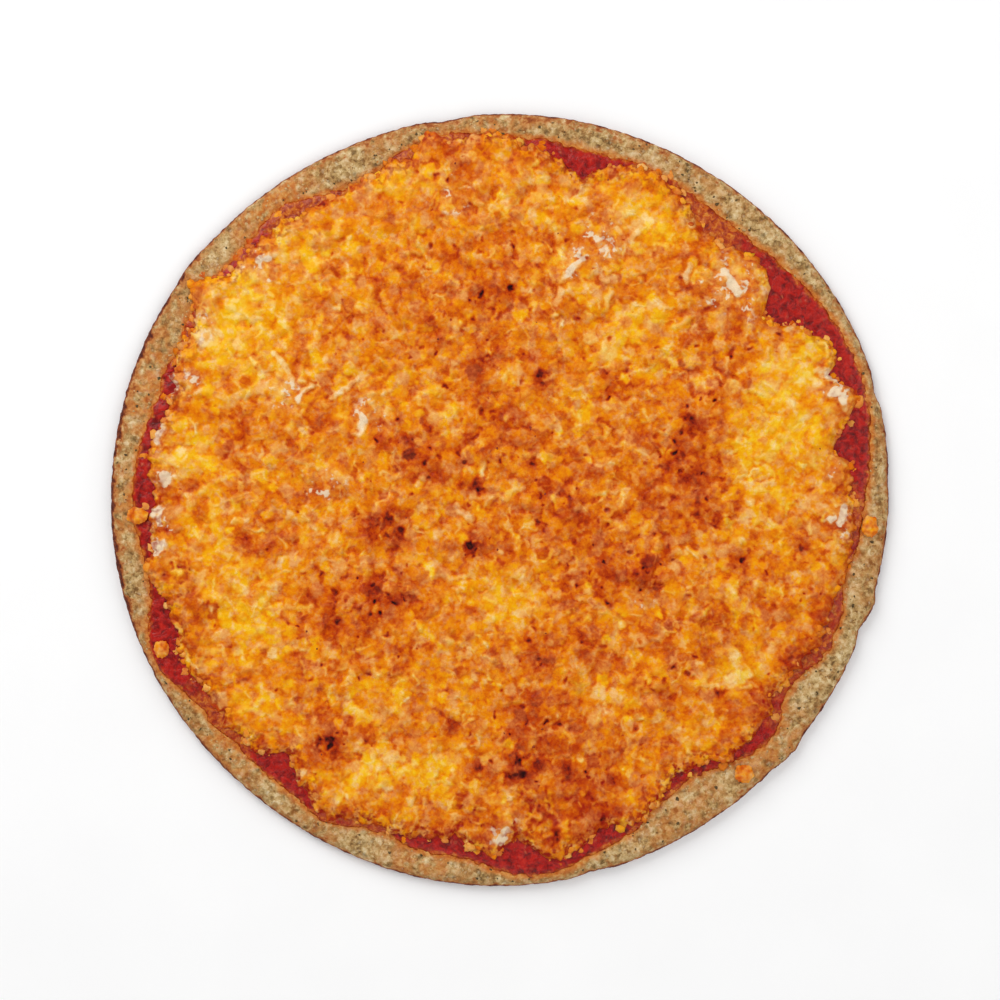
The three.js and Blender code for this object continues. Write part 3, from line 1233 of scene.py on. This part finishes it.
    def sink_pits(self) -> None:
        """Sinks small dark pits, most of them where the cheese is browned."""
        likely = 0.07 + 0.7 * self.looks[Look.BROWNED] + 0.4 * self.looks[Look.OLIVE]
        likely = likely * (1 - 0.8 * self.looks[Look.YELLOW])
        for x, y in self.scattered(self.pits):
            chance = self.plan.at(np.array(x), np.array(y), likely)
            if self.random.uniform() > chance:
                continue
            radius = self.random.uniform(0.4, 1.2)
            depth, dark = self.random.uniform(0.1, 0.45), self.random.uniform(0.1, 0.34)
            w = self.window(x, y, radius + 2 * self.wander)
            away = np.hypot(self.bent_x[w] - x, self.bent_y[w] - y) / radius
            inside = np.clip(1 - away**2, 0, 1)
            self.relief[w] -= depth * inside
            self.tone[w] -= dark * inside
            self.pale[w] *= 1 - 0.7 * inside

    def settle(self) -> None:
        """Levels the relief, and works out the final looks from it and the patches, with light painted onto
        the crests and shade painted into the hollows.
        """
        self.relief -= self.plan.blurred(self.relief, 5.0)
        crest = self.relief - self.plan.blurred(self.relief, 1.5)
        looks, x, y = self.looks, self.x, self.y
        # Painted light and shade: the crests of the relief are made brighter and the hollows darker.
        tone = self.tone + self.painted_crest_light * eased(crest, 0.0, 0.3) - self.painted_hollow_shade * eased(-crest, 0.05, 0.35)
        self.tone = np.clip(tone + sum(step * looks[look] for look, step in TONES.items()), 0, 1)
        cream = eased(self.noise.layered(x, y + 5, 4.4, 4, 0.75), 0.32, 0.85)
        # The crests are also made paler: partly dry, pale cheese and partly a painted highlight.
        pale = self.pale + 0.2 * eased(crest, 0.08, 0.35) + self.creamy * cream
        pale = np.maximum(self.pale, np.minimum(pale, self.palest)) * (1 - 0.45 * looks[Look.YELLOW])
        pale += 0.9 * looks[Look.PALE] * eased(self.noise.layered(x, y + 5, 3, 2), -0.7, 0.2)
        self.pale = np.clip(pale * (1 - looks[Look.BURNT]), 0, 1)
        # Where the pale specks with painted glints show on the grains' domes, fewer on the yellow cheese.
        self.grain = eased(self.noise.layered(x + 13, y, 6, 3) - 0.5 * looks[Look.YELLOW], -0.6, 0.6)
        holes = eased(self.noise.layered(x + 77, y, 2.6, 2), 0.0, 0.6)
        stained = looks[Look.RED] * (0.3 + holes) * eased(-crest, -0.25, 0.2)
        blotches = eased(self.noise.layered(x - 41, y, 4.5, 3), 0.3, 0.9) * (1 - looks[Look.YELLOW])
        self.red = np.clip(stained + self.blotched * blotches, 0, 1)


# ------------------------------------------------------------------ the layers


@dataclass
class Layers:
    """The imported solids, read once, and the heights that the pieces lie on."""

    half: float = 130.0
    pitch: float = 1.3

    def __post_init__(self) -> None:
        """Reads the three layers."""
        self.crust, self.sauce, self.cheese = (Solid(node) for node in ("crust", "sauce", "cheese"))
        self.crust_top = self.crust.top(self.half, self.pitch)
        self.sauce_top = self.sauce.top(self.half, self.pitch)
        self.cheese_top = self.cheese.top(self.half, self.pitch)

    def support(self, x: Array, y: Array) -> Array:
        """Returns the height of what the cheese lies on: the sauce, or the crust outside it.

        Args:
            x: first coordinates.
            y: second coordinates.

        Returns:
            One height for each place.
        """
        inside = self.sauce.reach(np.arctan2(y, x) % TURN) - np.hypot(x, y)
        crust, sauce = self.crust_top.at(x, y), self.sauce_top.at(x, y)
        return np.where(inside > 0, np.maximum(sauce, crust), crust)


@dataclass
class Crust:
    """The baked base: one level underside, a toasted side and a bare, speckled margin."""

    layers: Layers
    around: int = 1320
    band: float = 17.0
    under: float = 20.0
    under_rings: tuple[int, ...] = (10, 6)
    lip: float = 1.3
    foot: float = 0.7
    shoulder: float = 4.5
    height: float = 5.4
    ragged: float = 0.22
    lumpy: float = 0.26
    grainy: float = 0.1
    pocked: float = 0.2
    seed: int = 3

    def section(self) -> tuple[Array, Array]:
        """Draws the section of the rim.

        Returns:
            How far in from the outline and how high each of its stations is, from the underside
            outwards, up and back over the top.
        """
        underside = np.linspace(self.under, self.foot + 1, 12)
        heel = np.linspace(0, math.pi / 2, 6)
        side = np.linspace(0, math.pi / 2, 15)[1:]
        margin = np.linspace(self.shoulder, self.band, 27)[1:]
        inset = [underside, self.foot * (1 - np.sin(heel)), self.shoulder * (1 - np.cos(side)), margin]
        rise = (self.height - self.lip) * np.sin(side)
        level = [0 * underside, self.lip * (1 - np.cos(heel)), self.lip + rise, 0 * margin + self.height]
        return np.concatenate(inset), np.concatenate(level)

    def build(self) -> Piece:
        """Models the crust.

        Returns:
            The finished piece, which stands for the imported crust.
        """
        inset, level = self.section()
        crust, angle, step = rolled_band("pizza_crust", self.around, len(inset) - 1)
        noise = Noise(self.seed)
        depth = inset[step]
        reach = self.layers.crust.reach(angle)
        ragged = self.ragged * noise.layered(reach * angle, level[step], 2.6, 3)
        away = reach - depth + ragged * eased(depth, 6, 0)
        x, y = away * np.cos(angle), away * np.sin(angle)
        fade = eased(depth, 2.5, 6.0)
        solid = self.layers.crust_top.at(x, y)
        rough = self.lumpy * noise.layered(x, y, 2.4, 3) + self.grainy * noise.at(x, y, 0.9)
        z = level[step] + np.where(level[step] > self.lip, fade * (solid - self.height) + rough, 0)
        z = np.where((level[step] == 0) & (depth > 2), np.abs(self.pocked * noise.layered(x, y, 4, 3)), z)
        points = np.stack([x, y, z], 1)
        move_points(crust, points * MM)
        self.close(crust)
        self.colour(crust, noise)
        return crust

    def close(self, crust: Piece) -> None:
        """Joins the band's seam, closes the bed under the sauce and sets in the underside.

        Args:
            crust: the open band.
        """
        tidy(crust)
        middle = self.height / 2 * MM
        close_edge(crust, lambda point: point.z > middle)
        disc = even_disc("underside", self.under_rings)
        share, angle = disc_places(points_of(disc))
        away = share * (self.layers.crust.reach(angle % TURN) - self.under - 1.2)
        x, y = away * np.cos(angle), away * np.sin(angle)
        z = np.abs(self.pocked * Noise(self.seed).layered(x, y, 4, 3))
        move_points(disc, np.stack([x, y, z], 1) * MM)
        bpy.ops.object.select_all(action="DESELECT")
        disc.select_set(True)
        crust.select_set(True)
        bpy.context.view_layer.objects.active = crust
        bpy.ops.object.join()
        with editing(crust) as model:
            choose_edges(model, crust, is_open)
            bpy.ops.mesh.bridge_edge_loops()
        tidy(crust)
        move_points(crust, inside_box(points_of(crust) / MM) * MM)

    def colour(self, crust: Piece, noise: Noise) -> None:
        """Stores how toasted and how oily each point is.

        Args:
            crust: the closed crust.
            noise: the noise that makes both uneven.
        """
        x, y, z = (points_of(crust) / MM).T
        angle = np.arctan2(y, x) % TURN
        away = np.hypot(x, y)
        inset = self.layers.crust.reach(angle) - away
        blotch = noise.layered(x, y, 3.5, 3)
        left, top = (eased(degrees_from(np.degrees(angle), at), out, full) for at, out, full in BROWNED)
        # The dark line along the outline: how wide it is, in millimetres, and how dark.
        wide = 0.45 + 0.55 * left + (0.4 + 0.7 * left) * blotch
        edge = (0.8 + 0.02 * left + 0.12 * blotch) * eased(inset, wide + 0.6, wide - 0.3)
        # The warm band inside it, then the side and the blotchy underside.
        brown = np.maximum(left, top)
        warm = (0.24 + 0.12 * brown + 0.2 * blotch) * eased(inset, 3.0 + 2.5 * brown + 1.8 * blotch, 0.6)
        edge = np.maximum(edge, warm)
        side = 0.6 * eased(z, 3.6, 2.0)
        below = np.where(z < 1.0, 0.35 + 0.3 * noise.layered(x, y, 14, 3) + 0.25 * blotch, 0)
        toast = np.maximum(edge, np.maximum(side, below))
        from_sauce = away - self.layers.sauce.reach(angle)
        oil = 0.9 * eased(from_sauce, 2.6 + 1.8 * blotch, 0.2)
        # Oil that has run out of the cheese.
        for centre, width, strength in OIL_STAINS:
            near = degrees_from(np.degrees(angle), centre)
            patch = strength * eased(near, width, 0.3 * width) * eased(blotch, -0.9, 0.5)
            oil = np.maximum(oil, patch * eased(inset, 0.0, 1.5))
        paint(crust, toast=toast, oil=np.where(z > 3, oil, 0))


# Where the sauce is a thin, oily brown film: [middle and half width in degrees, strength].
OILY_SAUCE = [
    (54, 8, 0.9),
    (114, 15, 1.0),
    (145, 5, 0.9),
    (218, 6, 0.85),
    (357, 5, 0.8),
    (334, 12, 0.6),
    (94, 9, 0.9),
    (247, 4, 0.8),
]

# Where the outline is browned most, at the left and the top: [middle, where it fades out and where it
# is full, in degrees from the middle].
BROWNED = [(172, 34, 20), (92, 34, 16)]

# Where oil from the cheese has stained the margin: [middle and half width in degrees, strength].
OIL_STAINS = [
    (128, 12, 0.85),
    (146, 8, 0.5),
    (108, 5, 0.4),
    (204, 11, 0.7),
    (222, 9, 0.75),
    (240, 8, 0.35),
    (300, 12, 0.5),
    (318, 10, 0.65),
    (352, 12, 0.3),
    (14, 14, 0.3),
    (60, 14, 0.25),
    (161, 14, 0.75),
    (181, 9, 0.65),
    (258, 9, 0.6),
    (92, 14, 0.6),
]


@dataclass
class Sauce:
    """The thin layer of tomato sauce, which shows outside the cheese."""

    layers: Layers
    around: int = 1100
    hidden: float = 97.0
    steps: int = 38
    lip: float = 0.35
    ragged: float = 0.8
    lumpy: float = 0.22
    least: float = 0.5
    rounding: float = 2.2
    seed: int = 5

    def build(self) -> Piece:
        """Models the sauce.

        Returns:
            The finished piece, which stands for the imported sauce.
        """
        sauce, angle, step = rolled_band("tomato_sauce", self.around, self.steps + 2)
        noise = Noise(self.seed)
        reach = self.layers.sauce.reach(angle)
        arc = reach * angle
        limit = self.layers.crust.reach(angle) - 1.2
        reach = np.minimum(reach + self.ragged * noise.layered(arc, 0 * arc, 5, 4), limit)
        share = np.clip(step / self.steps, 0, 1)
        away = between(self.hidden, reach, share)
        away = np.where(step > self.steps, reach - 0.4, away)
        away = np.where(step > self.steps + 1, self.hidden, away)
        x, y = away * np.cos(angle), away * np.sin(angle)
        inside = reach - away
        solid = self.layers.sauce_top.at(x, y)
        bed = self.layers.crust_top.at(x, y)
        film = np.maximum(solid - bed, self.least)
        rounded = np.sqrt(np.clip(1 - (1 - np.clip(inside / self.rounding, 0, 1)) ** 2, 0, 1))
        relief = self.lumpy * noise.layered(x, y, 3.4, 3) * eased(inside, 0, 1.5)
        z = np.minimum(bed, solid) + 0.05 + film * rounded + relief
        z = np.where(step > self.steps, bed - self.lip, z)
        move_points(sauce, inside_box(np.stack([x, y, z], 1)) * MM)
        tidy(sauce)
        level = float(np.median(z[step == 0])) * MM
        below = float(np.median(z[step == self.steps + 2])) * MM
        middle = (level + below) / 2
        close_edge(sauce, lambda point: point.z > middle and point.xy.length < (self.hidden + 2) * MM)
        close_edge(sauce, lambda point: point.z <= middle)
        tidy(sauce)
        self.colour(sauce, noise)
        return sauce

    def colour(self, sauce: Piece, noise: Noise) -> None:
        """Stores where the sauce is thin and where pulp shows.

        Args:
            sauce: the closed sauce.
            noise: the noise that makes both uneven.
        """
        x, y, _ = (points_of(sauce) / MM).T
        angle = np.arctan2(y, x) % TURN
        inside = self.layers.sauce.reach(angle) - np.hypot(x, y)
        thin = 0.95 * eased(inside + 0.9 * noise.layered(x, y, 3, 2), 1.2, 0.2)
        uneven = 4 * noise.layered(x, y, 7, 2)
        brown = np.zeros_like(x)
        for centre, width, strength in OILY_SAUCE:
            near = degrees_from(np.degrees(angle) + uneven, centre)
            brown = np.maximum(brown, strength * eased(near, width + 3, width - 3))
        pulp = eased(noise.layered(x, y, 6, 2), -0.4, 0.6)
        paint(sauce, thin=np.maximum(thin, brown), pulp=pulp)


# Where the cheese has drawn back from the sauce: [middle, where that fades out and where it is full, in
# degrees from the middle].
BARE_SAUCE = (322, 28, 12)


@dataclass
class Blanket:
    """The melted cheese: one sheet of lumps, strands, pits and blisters with a ragged edge."""

    layers: Layers
    map: CheeseMap
    parts: tuple[int, ...] = (20, 21)
    sectors: int = 6
    settle: float = 4.0
    mean: float = 115.2
    edge: float = 3.2
    front: float = 1.7
    rise: float = 0.3
    least: float = 0.9
    rim: float = 0.35
    ragged: float = 1.6
    drawn_back: tuple[float, float] = (0.3, 1.4)
    seed: int = 8

    def outline(self, angle: Array) -> Array:
        """Returns how far the cheese reaches at each angle, with its fine bays and tongues.

        Args:
            angle: the angles, in radians.

        Returns:
            One distance from the middle for each angle.
        """
        noise = Noise(self.seed)
        reach = self.layers.cheese.reach(angle % TURN)
        x, y = self.mean * np.cos(angle), self.mean * np.sin(angle)
        ragged = self.ragged * noise.layered(x, y, 4.6, 3, 0.58)
        at, out, full = BARE_SAUCE
        everywhere, there = self.drawn_back
        drawn_back = everywhere + there * eased(degrees_from(np.degrees(angle), at), out, full)
        return np.minimum(reach + ragged - drawn_back, self.layers.crust.reach(angle % TURN) - 1.2)

    def surface(self, x: Array, y: Array) -> Array:
        """Returns the height of the cheese's top.

        Args:
            x: first coordinates.
            y: second coordinates.

        Returns:
            One height for each place.
        """
        angle = np.arctan2(y, x)
        inside = self.outline(angle) - np.hypot(x, y)
        support = self.layers.support(x, y)
        solid = self.layers.cheese_top.at(x, y)
        thick = np.maximum(solid - support, self.least) + self.map.plan.at(x, y, self.map.relief)
        thick = np.minimum(thick, self.front + self.rise * np.maximum(inside, 0))
        share = np.clip(inside / self.edge, 0, 1)
        return support + np.maximum(thick, self.rim) * np.sqrt(1 - (1 - share) ** 2)

    def ground(self, x: Array, y: Array) -> Array:
        """Returns the height of the top of whatever shows at each place."""
        inside = self.outline(np.arctan2(y, x)) - np.hypot(x, y)
        return np.where(inside > 0, self.surface(x, y), self.layers.support(x, y))

    def build(self) -> list[Piece]:
        """Models the cheese, in sectors that meet without a gap.

        Returns:
            The finished pieces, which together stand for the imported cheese.
        """
        return [self.sector(number) for number in range(self.sectors)]

    def sector(self, number: int) -> Piece:
        """Models one sector.

        Args:
            number: which one, from 0.

        Returns:
            The sector, closed below.
        """
        cheese, share, along = even_sector(f"melted_cheese_{number + 1}", self.parts)
        angle = (number + along) * TURN / self.sectors
        away = share * between(self.mean, self.outline(angle), share**self.settle)
        x, y = away * np.cos(angle), away * np.sin(angle)
        top = inside_box(np.stack([x, y, self.surface(x, y)], 1))
        move_points(cheese, top * MM)
        with editing(cheese) as model:
            choose_edges(model, cheese, is_open)
            bpy.ops.mesh.mark_sharp()
            bpy.ops.mesh.extrude_region_move()
        points = points_of(cheese) / MM
        x, y, z = points[len(top) :].T
        points[len(top) :, 2] = np.minimum(self.layers.support(x, y), z) - 0.15
        move_points(cheese, points * MM)
        with editing(cheese) as model:
            choose_edges(model, cheese, is_open)
            bpy.ops.mesh.edge_face_add()
        tidy(cheese)
        self.colour(cheese)
        return cheese

    def colour(self, cheese: Piece) -> None:
        """Stores the maps' looks at the cheese's points.

        Args:
            cheese: the closed sector.
        """
        x, y, z = (points_of(cheese) / MM).T
        angle = np.arctan2(y, x)
        inside = self.outline(angle) - np.hypot(x, y)
        maps, plan = self.map, self.map.plan
        noise = Noise(self.seed)
        holes = eased(noise.layered(x, y, 2.6, 3, 0.7), -0.3, 0.6)
        wet = 0.35 + 0.65 * eased(noise.at(x + 20, y, 45), -0.5, 0.2)
        wet = np.maximum(wet, 1.3 * eased(-y, 55, 85))
        low = eased(z - self.layers.support(x, y), 1.3, 0.1)
        seep = np.maximum(0.8 * low * eased(inside, 2.4, 0.3), 0.9 * wet * holes * eased(inside, 9, 0.5))
        red = np.maximum(plan.at(x, y, maps.red), seep)
        paint(
            cheese,
            tone=plan.at(x, y, maps.tone),
            pale=plan.at(x, y, maps.pale),
            grain=plan.at(x, y, maps.grain),
            red=red,
        )


# ------------------------------------------------------------------ the small things


@dataclass
class Prototype:
    """One small thing, modelled once, whose points and faces are copied many times."""

    points: Array
    faces: list[tuple[int, ...]]

    @classmethod
    def crumb(cls, rounder: bool) -> "Prototype":
        """Models an uneven crumb, one unit across, and keeps its shape alone.

        Args:
            rounder: whether it has more faces.

        Returns:
            The crumb.
        """
        if rounder:
            crumb = added("crumb", bpy.ops.mesh.primitive_uv_sphere_add, segments=8, ring_count=5, radius=0.5)
        else:
            crumb = added("crumb", bpy.ops.mesh.primitive_ico_sphere_add, subdivisions=1, radius=0.5)
        with editing(crumb) as model:
            for point in model.verts:
                point.select_set(point.co.x > 0.1)
            model.select_flush_mode()
            bmesh.update_edit_mesh(crumb.data)
            bpy.ops.transform.resize(value=(1.15, 0.8, 0.85))
            bpy.ops.mesh.select_all(action="INVERT")
            bpy.ops.transform.resize(value=(0.9, 1.1, 1.0))
        shape = cls(points_of(crumb), [tuple(face.vertices) for face in crumb.data.polygons])
        bpy.data.objects.remove(crumb)
        return shape


def joined(name: str, thing: Prototype, placed: Array) -> Piece:
    """Makes one piece of many copies of a small thing.

    Args:
        name: the piece's name.
        thing: what is copied.
        placed: each copy's points, in millimetres.

    Returns:
        The piece.
    """
    count, size = placed.shape[:2]
    mesh = bpy.data.meshes.new(name)
    faces = [tuple(size * copy + corner for corner in face) for copy in range(count) for face in thing.faces]
    mesh.from_pydata((inside_box(placed.reshape(-1, 3)) * MM).tolist(), [], faces)
    mesh.shade_smooth()
    piece = bpy.data.objects.new(name, mesh)
    bpy.context.collection.objects.link(piece)
    return piece


@dataclass
class Crumbs:
    """Small crumbs strewn on a surface."""

    name: str
    count: int
    size: tuple[float, float]
    sunk: float
    place: Callable[[np.random.Generator, int], tuple[Array, Array]]
    ground: Callable[[Array, Array], Array]
    seed: int = 31
    rounder: bool = False
    flat: float = 0.4
    uneven: float = 0.13

    def build(self) -> Piece:
        """Strews the crumbs.

        Returns:
            The piece of all of them.
        """
        random = np.random.default_rng(self.seed)
        x, y = self.place(random, self.count)
        count = len(x)
        crumb = Prototype.crumb(self.rounder)
        size = random.uniform(*self.size, count)[:, None]
        turn = random.uniform(0, TURN, count)[:, None]
        long = random.uniform(0.8, 1.5, count)[:, None]
        uneven = size * random.normal(1, self.uneven, (count, len(crumb.points)))
        px, py, pz = (crumb.points[None, :, i] * uneven for i in range(3))
        px = px * long
        points = [
            x[:, None] + px * np.cos(turn) - py * np.sin(turn),
            y[:, None] + px * np.sin(turn) + py * np.cos(turn),
            self.ground(x, y)[:, None] + (pz - self.sunk * size) * self.flat,
        ]
        return joined(self.name, crumb, np.stack(points, 2))


@dataclass
class CheeseBits:
    """The few bits of cheese that fell outside the blanket."""

    layers: Layers
    map: CheeseMap
    nodes: tuple[str, ...] = ("cheese_bit_1", "cheese_bit_2", "cheese_bit_3", "cheese_bit_4")
    lobed: float = 0.16
    slack: float = 0.97
    sunk: float = 0.28
    tall: float = 1.25
    rough: float = 0.18
    seed: int = 41

    def build(self) -> list[Piece]:
        """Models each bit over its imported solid.

        Returns:
            The pieces, in the order of the nodes.
        """
        return [self.bit(index, node) for index, node in enumerate(self.nodes)]

    def bit(self, index: int, node: str) -> Piece:
        """Models one bit.

        Args:
            index: the bit's number, from 0.
            node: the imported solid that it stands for.

        Returns:
            The bit.
        """
        low, high = (np.array(corner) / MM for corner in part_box(node))
        middle, size = (low + high) / 2, high - low
        piece = added(f"fallen_{node}", bpy.ops.mesh.primitive_ico_sphere_add, subdivisions=5, radius=0.5)
        unit = points_of(piece)
        noise = Noise(self.seed + index)
        angle = np.arctan2(unit[:, 1], unit[:, 0])
        lobes = 1 + self.lobed * noise.layered(np.cos(angle) * 3 + 5, np.sin(angle) * 3, 1.6, 2)
        x = middle[0] + unit[:, 0] * size[0] * lobes * self.slack
        y = middle[1] + unit[:, 1] * size[1] * lobes * self.slack
        ground = self.layers.support(x, y)
        z = ground + np.maximum(unit[:, 2] + self.sunk, -0.05) * size[2] * self.tall
        z += self.rough * noise.layered(x, y, 1.8, 3) * (unit[:, 2] > -0.2)
        move_points(piece, inside_box(np.stack([x, y, z], 1)) * MM)
        tidy(piece)
        shade = 0.6 + 0.2 * noise.layered(x, y, 2.2, 2)
        pale = 0.25 + 0.35 * noise.layered(x + 9, y, 1.8, 2)
        paint(piece, tone=shade, pale=pale, grain=0 * x + 1, red=0.35 * eased(z - ground, 0.7, 0.1))
        return piece


@dataclass
class LooseCurds:
    """Small curds that lie loose along the edge of the melted cheese."""

    blanket: Blanket
    count: int = 340
    spread: float = 1.0
    size: tuple[float, float] = (1.4, 3.4)
    seed: int = 51

    def build(self) -> Piece:
        """Strews the curds.

        Returns:
            The piece of all of them.
        """
        random = np.random.default_rng(self.seed)
        angle = random.uniform(0, TURN, self.count)
        away = self.blanket.outline(angle) + random.normal(-0.4, self.spread, self.count)
        near = away < self.blanket.layers.crust.reach(angle) - 4.5
        angle, away = angle[near], away[near]
        clustered = Noise(self.seed).layered(away * np.cos(angle), away * np.sin(angle), 9, 2) > -0.25
        angle, away = angle[clustered], away[clustered]
        x, y = away * np.cos(angle), away * np.sin(angle)
        crumbs = Crumbs(
            "loose_curds", len(x), self.size, 0.3, lambda *_: (x, y), self.blanket.ground, self.seed, True
        )
        piece = crumbs.build()
        each = len(piece.data.vertices) // len(x)
        paint(
            piece,
            tone=np.repeat(random.normal(0.6, 0.1, len(x)), each),
            pale=np.repeat(random.uniform(0.0, 0.7, len(x)), each),
            grain=np.full(each * len(x), 0.7),
            red=np.repeat(np.clip(random.normal(0.0, 0.16, len(x)), 0, 0.4), each),
        )
        return piece


# ------------------------------------------------------------------ the studio


# The soft lights: [name, place and width in metres, power in watts].
LAMPS = [
    ("key", (-0.55, 0.75, 0.75), 0.8, 9.0),
    ("fill", (0.85, 0.1, 0.8), 1.0, 4.6),
    ("front", (-0.2, -0.9, 0.8), 1.0, 3.6),
]


@dataclass
class Studio:
    """A pale floor, soft lights and a camera straight above, framed as the photograph."""

    lens: float = 85.0
    sensor: float = 36.0
    waist: float = 4.0
    daylight: float = 0.34
    ground: float = 6.0

    def floor(self) -> None:
        """Lays the floor that the pizza lies on."""
        floor = added("floor", bpy.ops.mesh.primitive_plane_add, size=self.ground)
        with editing(floor):
            bpy.ops.mesh.select_all(action="SELECT")
            bpy.ops.mesh.subdivide(number_cuts=3)
        floor.data.materials.append(FloorFinish().material())

    def lamp(self, name: str, place: tuple[float, float, float], size: float, power: float) -> None:
        """Hangs a square soft light that faces the pizza.

        Args:
            name: the light's name.
            place: where it hangs, in metres.
            size: its width, in metres.
            power: its power, in watts.
        """
        light = bpy.data.lights.new(name, "AREA")
        light.shape, light.size, light.energy = "SQUARE", size, power
        lamp = bpy.data.objects.new(name, light)
        lamp.location = place
        lamp.rotation_euler = (-Vector(place)).to_track_quat("-Z", "Y").to_euler()
        bpy.context.collection.objects.link(lamp)

    def camera(self) -> None:
        """Puts the camera where the photograph was taken from."""
        data = bpy.data.cameras.new("camera")
        data.lens, data.sensor_width = self.lens, self.sensor
        camera = bpy.data.objects.new("camera", data)
        distance = PHOTO_WIDTH * self.lens / self.sensor
        camera.location = (0, 0, (distance + self.waist) * MM)
        bpy.context.collection.objects.link(camera)
        bpy.context.scene.camera = camera

    def build(self) -> None:
        """Sets up the whole studio."""
        scene = bpy.context.scene
        scene.view_settings.view_transform = "Standard"
        world = bpy.data.worlds.new("studio")
        world.use_nodes = True
        sky = world.node_tree.nodes["Background"]
        sky.inputs["Color"].default_value = srgb("FFFFFF")
        sky.inputs["Strength"].default_value = self.daylight
        scene.world = world
        self.floor()
        for name, place, size, power in LAMPS:
            self.lamp(name, place, size, power)
        self.camera()


# ------------------------------------------------------------------ the whole pizza


def on_margin(layers: Layers) -> Callable[[np.random.Generator, int], tuple[Array, Array]]:
    """Makes the rule that strews crumbs on the bare margin.

    Args:
        layers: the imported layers.

    Returns:
        A function of a generator and a count that returns places.
    """

    def place(random: np.random.Generator, count: int) -> tuple[Array, Array]:
        """Returns up to count places on the margin.

        Args:
            random: what draws the places.
            count: how many are tried.

        Returns:
            The coordinates of those that are kept.
        """
        angle = random.uniform(0, TURN, count)
        rim, sauce = layers.crust.reach(angle), layers.sauce.reach(angle)
        away = between(sauce + 0.5, rim - 1.8, random.uniform(0, 1, count))
        keep = random.uniform(0, 12, count) < rim - sauce
        return (away * np.cos(angle))[keep], (away * np.sin(angle))[keep]

    return place


def on_cheese(blanket: Blanket, look: Look) -> Callable[[np.random.Generator, int], tuple[Array, Array]]:
    """Makes the rule that strews crumbs on the cheese, most where it has one look.

    Args:
        blanket: the melted cheese.
        look: the look that draws them.

    Returns:
        A function of a generator and a count that returns places.
    """

    def place(random: np.random.Generator, count: int) -> tuple[Array, Array]:
        """Returns up to count places on the cheese.

        Args:
            random: what draws the places.
            count: how many are tried.

        Returns:
            The coordinates of those that are kept.
        """
        away, angle = 114 * np.sqrt(random.uniform(0, 1, count)), random.uniform(0, TURN, count)
        x, y = away * np.cos(angle), away * np.sin(angle)
        plan, looks = blanket.map.plan, blanket.map.looks
        likely = 0.04 + 0.9 * plan.at(x, y, looks[look])
        keep = (random.uniform(0, 1, count) < likely) & (away < blanket.outline(angle) - 1)
        return x[keep], y[keep]

    return place


def main() -> None:
    """Builds the studio and every piece of the pizza, and gives each one its material and its place."""
    logging.basicConfig(level=logging.INFO, format="%(name)s: %(message)s")
    Studio().build()
    layers = Layers()
    cheese_map = CheeseMap()
    blanket = Blanket(layers, cheese_map)
    cheese = CheeseFinish()
    dress(Crust(layers).build(), CrustFinish(), ["crust"])
    dress(Sauce(layers).build(), SauceFinish(), ["sauce"])
    for sector in blanket.build():
        dress(sector, cheese, ["cheese"])
    for bit, node in zip(CheeseBits(layers, cheese_map).build(), CheeseBits.nodes):
        dress(bit, cheese, [node])
    dress(LooseCurds(blanket).build(), cheese)
    margin, top = on_margin(layers), layers.crust_top.at
    pale_grain = SpeckFinish("pale_grain", "B48A54", "D6B680", 0.9)
    dark_fleck = SpeckFinish("dark_fleck", "3E2E16", "6E562C")
    burnt_fleck = SpeckFinish("burnt_fleck", "741E0C", "A83A10", 0.5)
    browned, surface = on_cheese(blanket, Look.BROWNED), blanket.surface
    dress(Crumbs("crust_grains", 700, (0.6, 1.3), 0.3, margin, top).build(), pale_grain)
    dress(Crumbs("crust_flecks", 300, (0.6, 1.3), 0.25, margin, top, 32).build(), dark_fleck)
    dress(Crumbs("burnt_flecks", 180, (0.6, 1.2), 0.2, browned, surface, 33).build(), burnt_fleck)


if __name__ == "__main__":
    main()
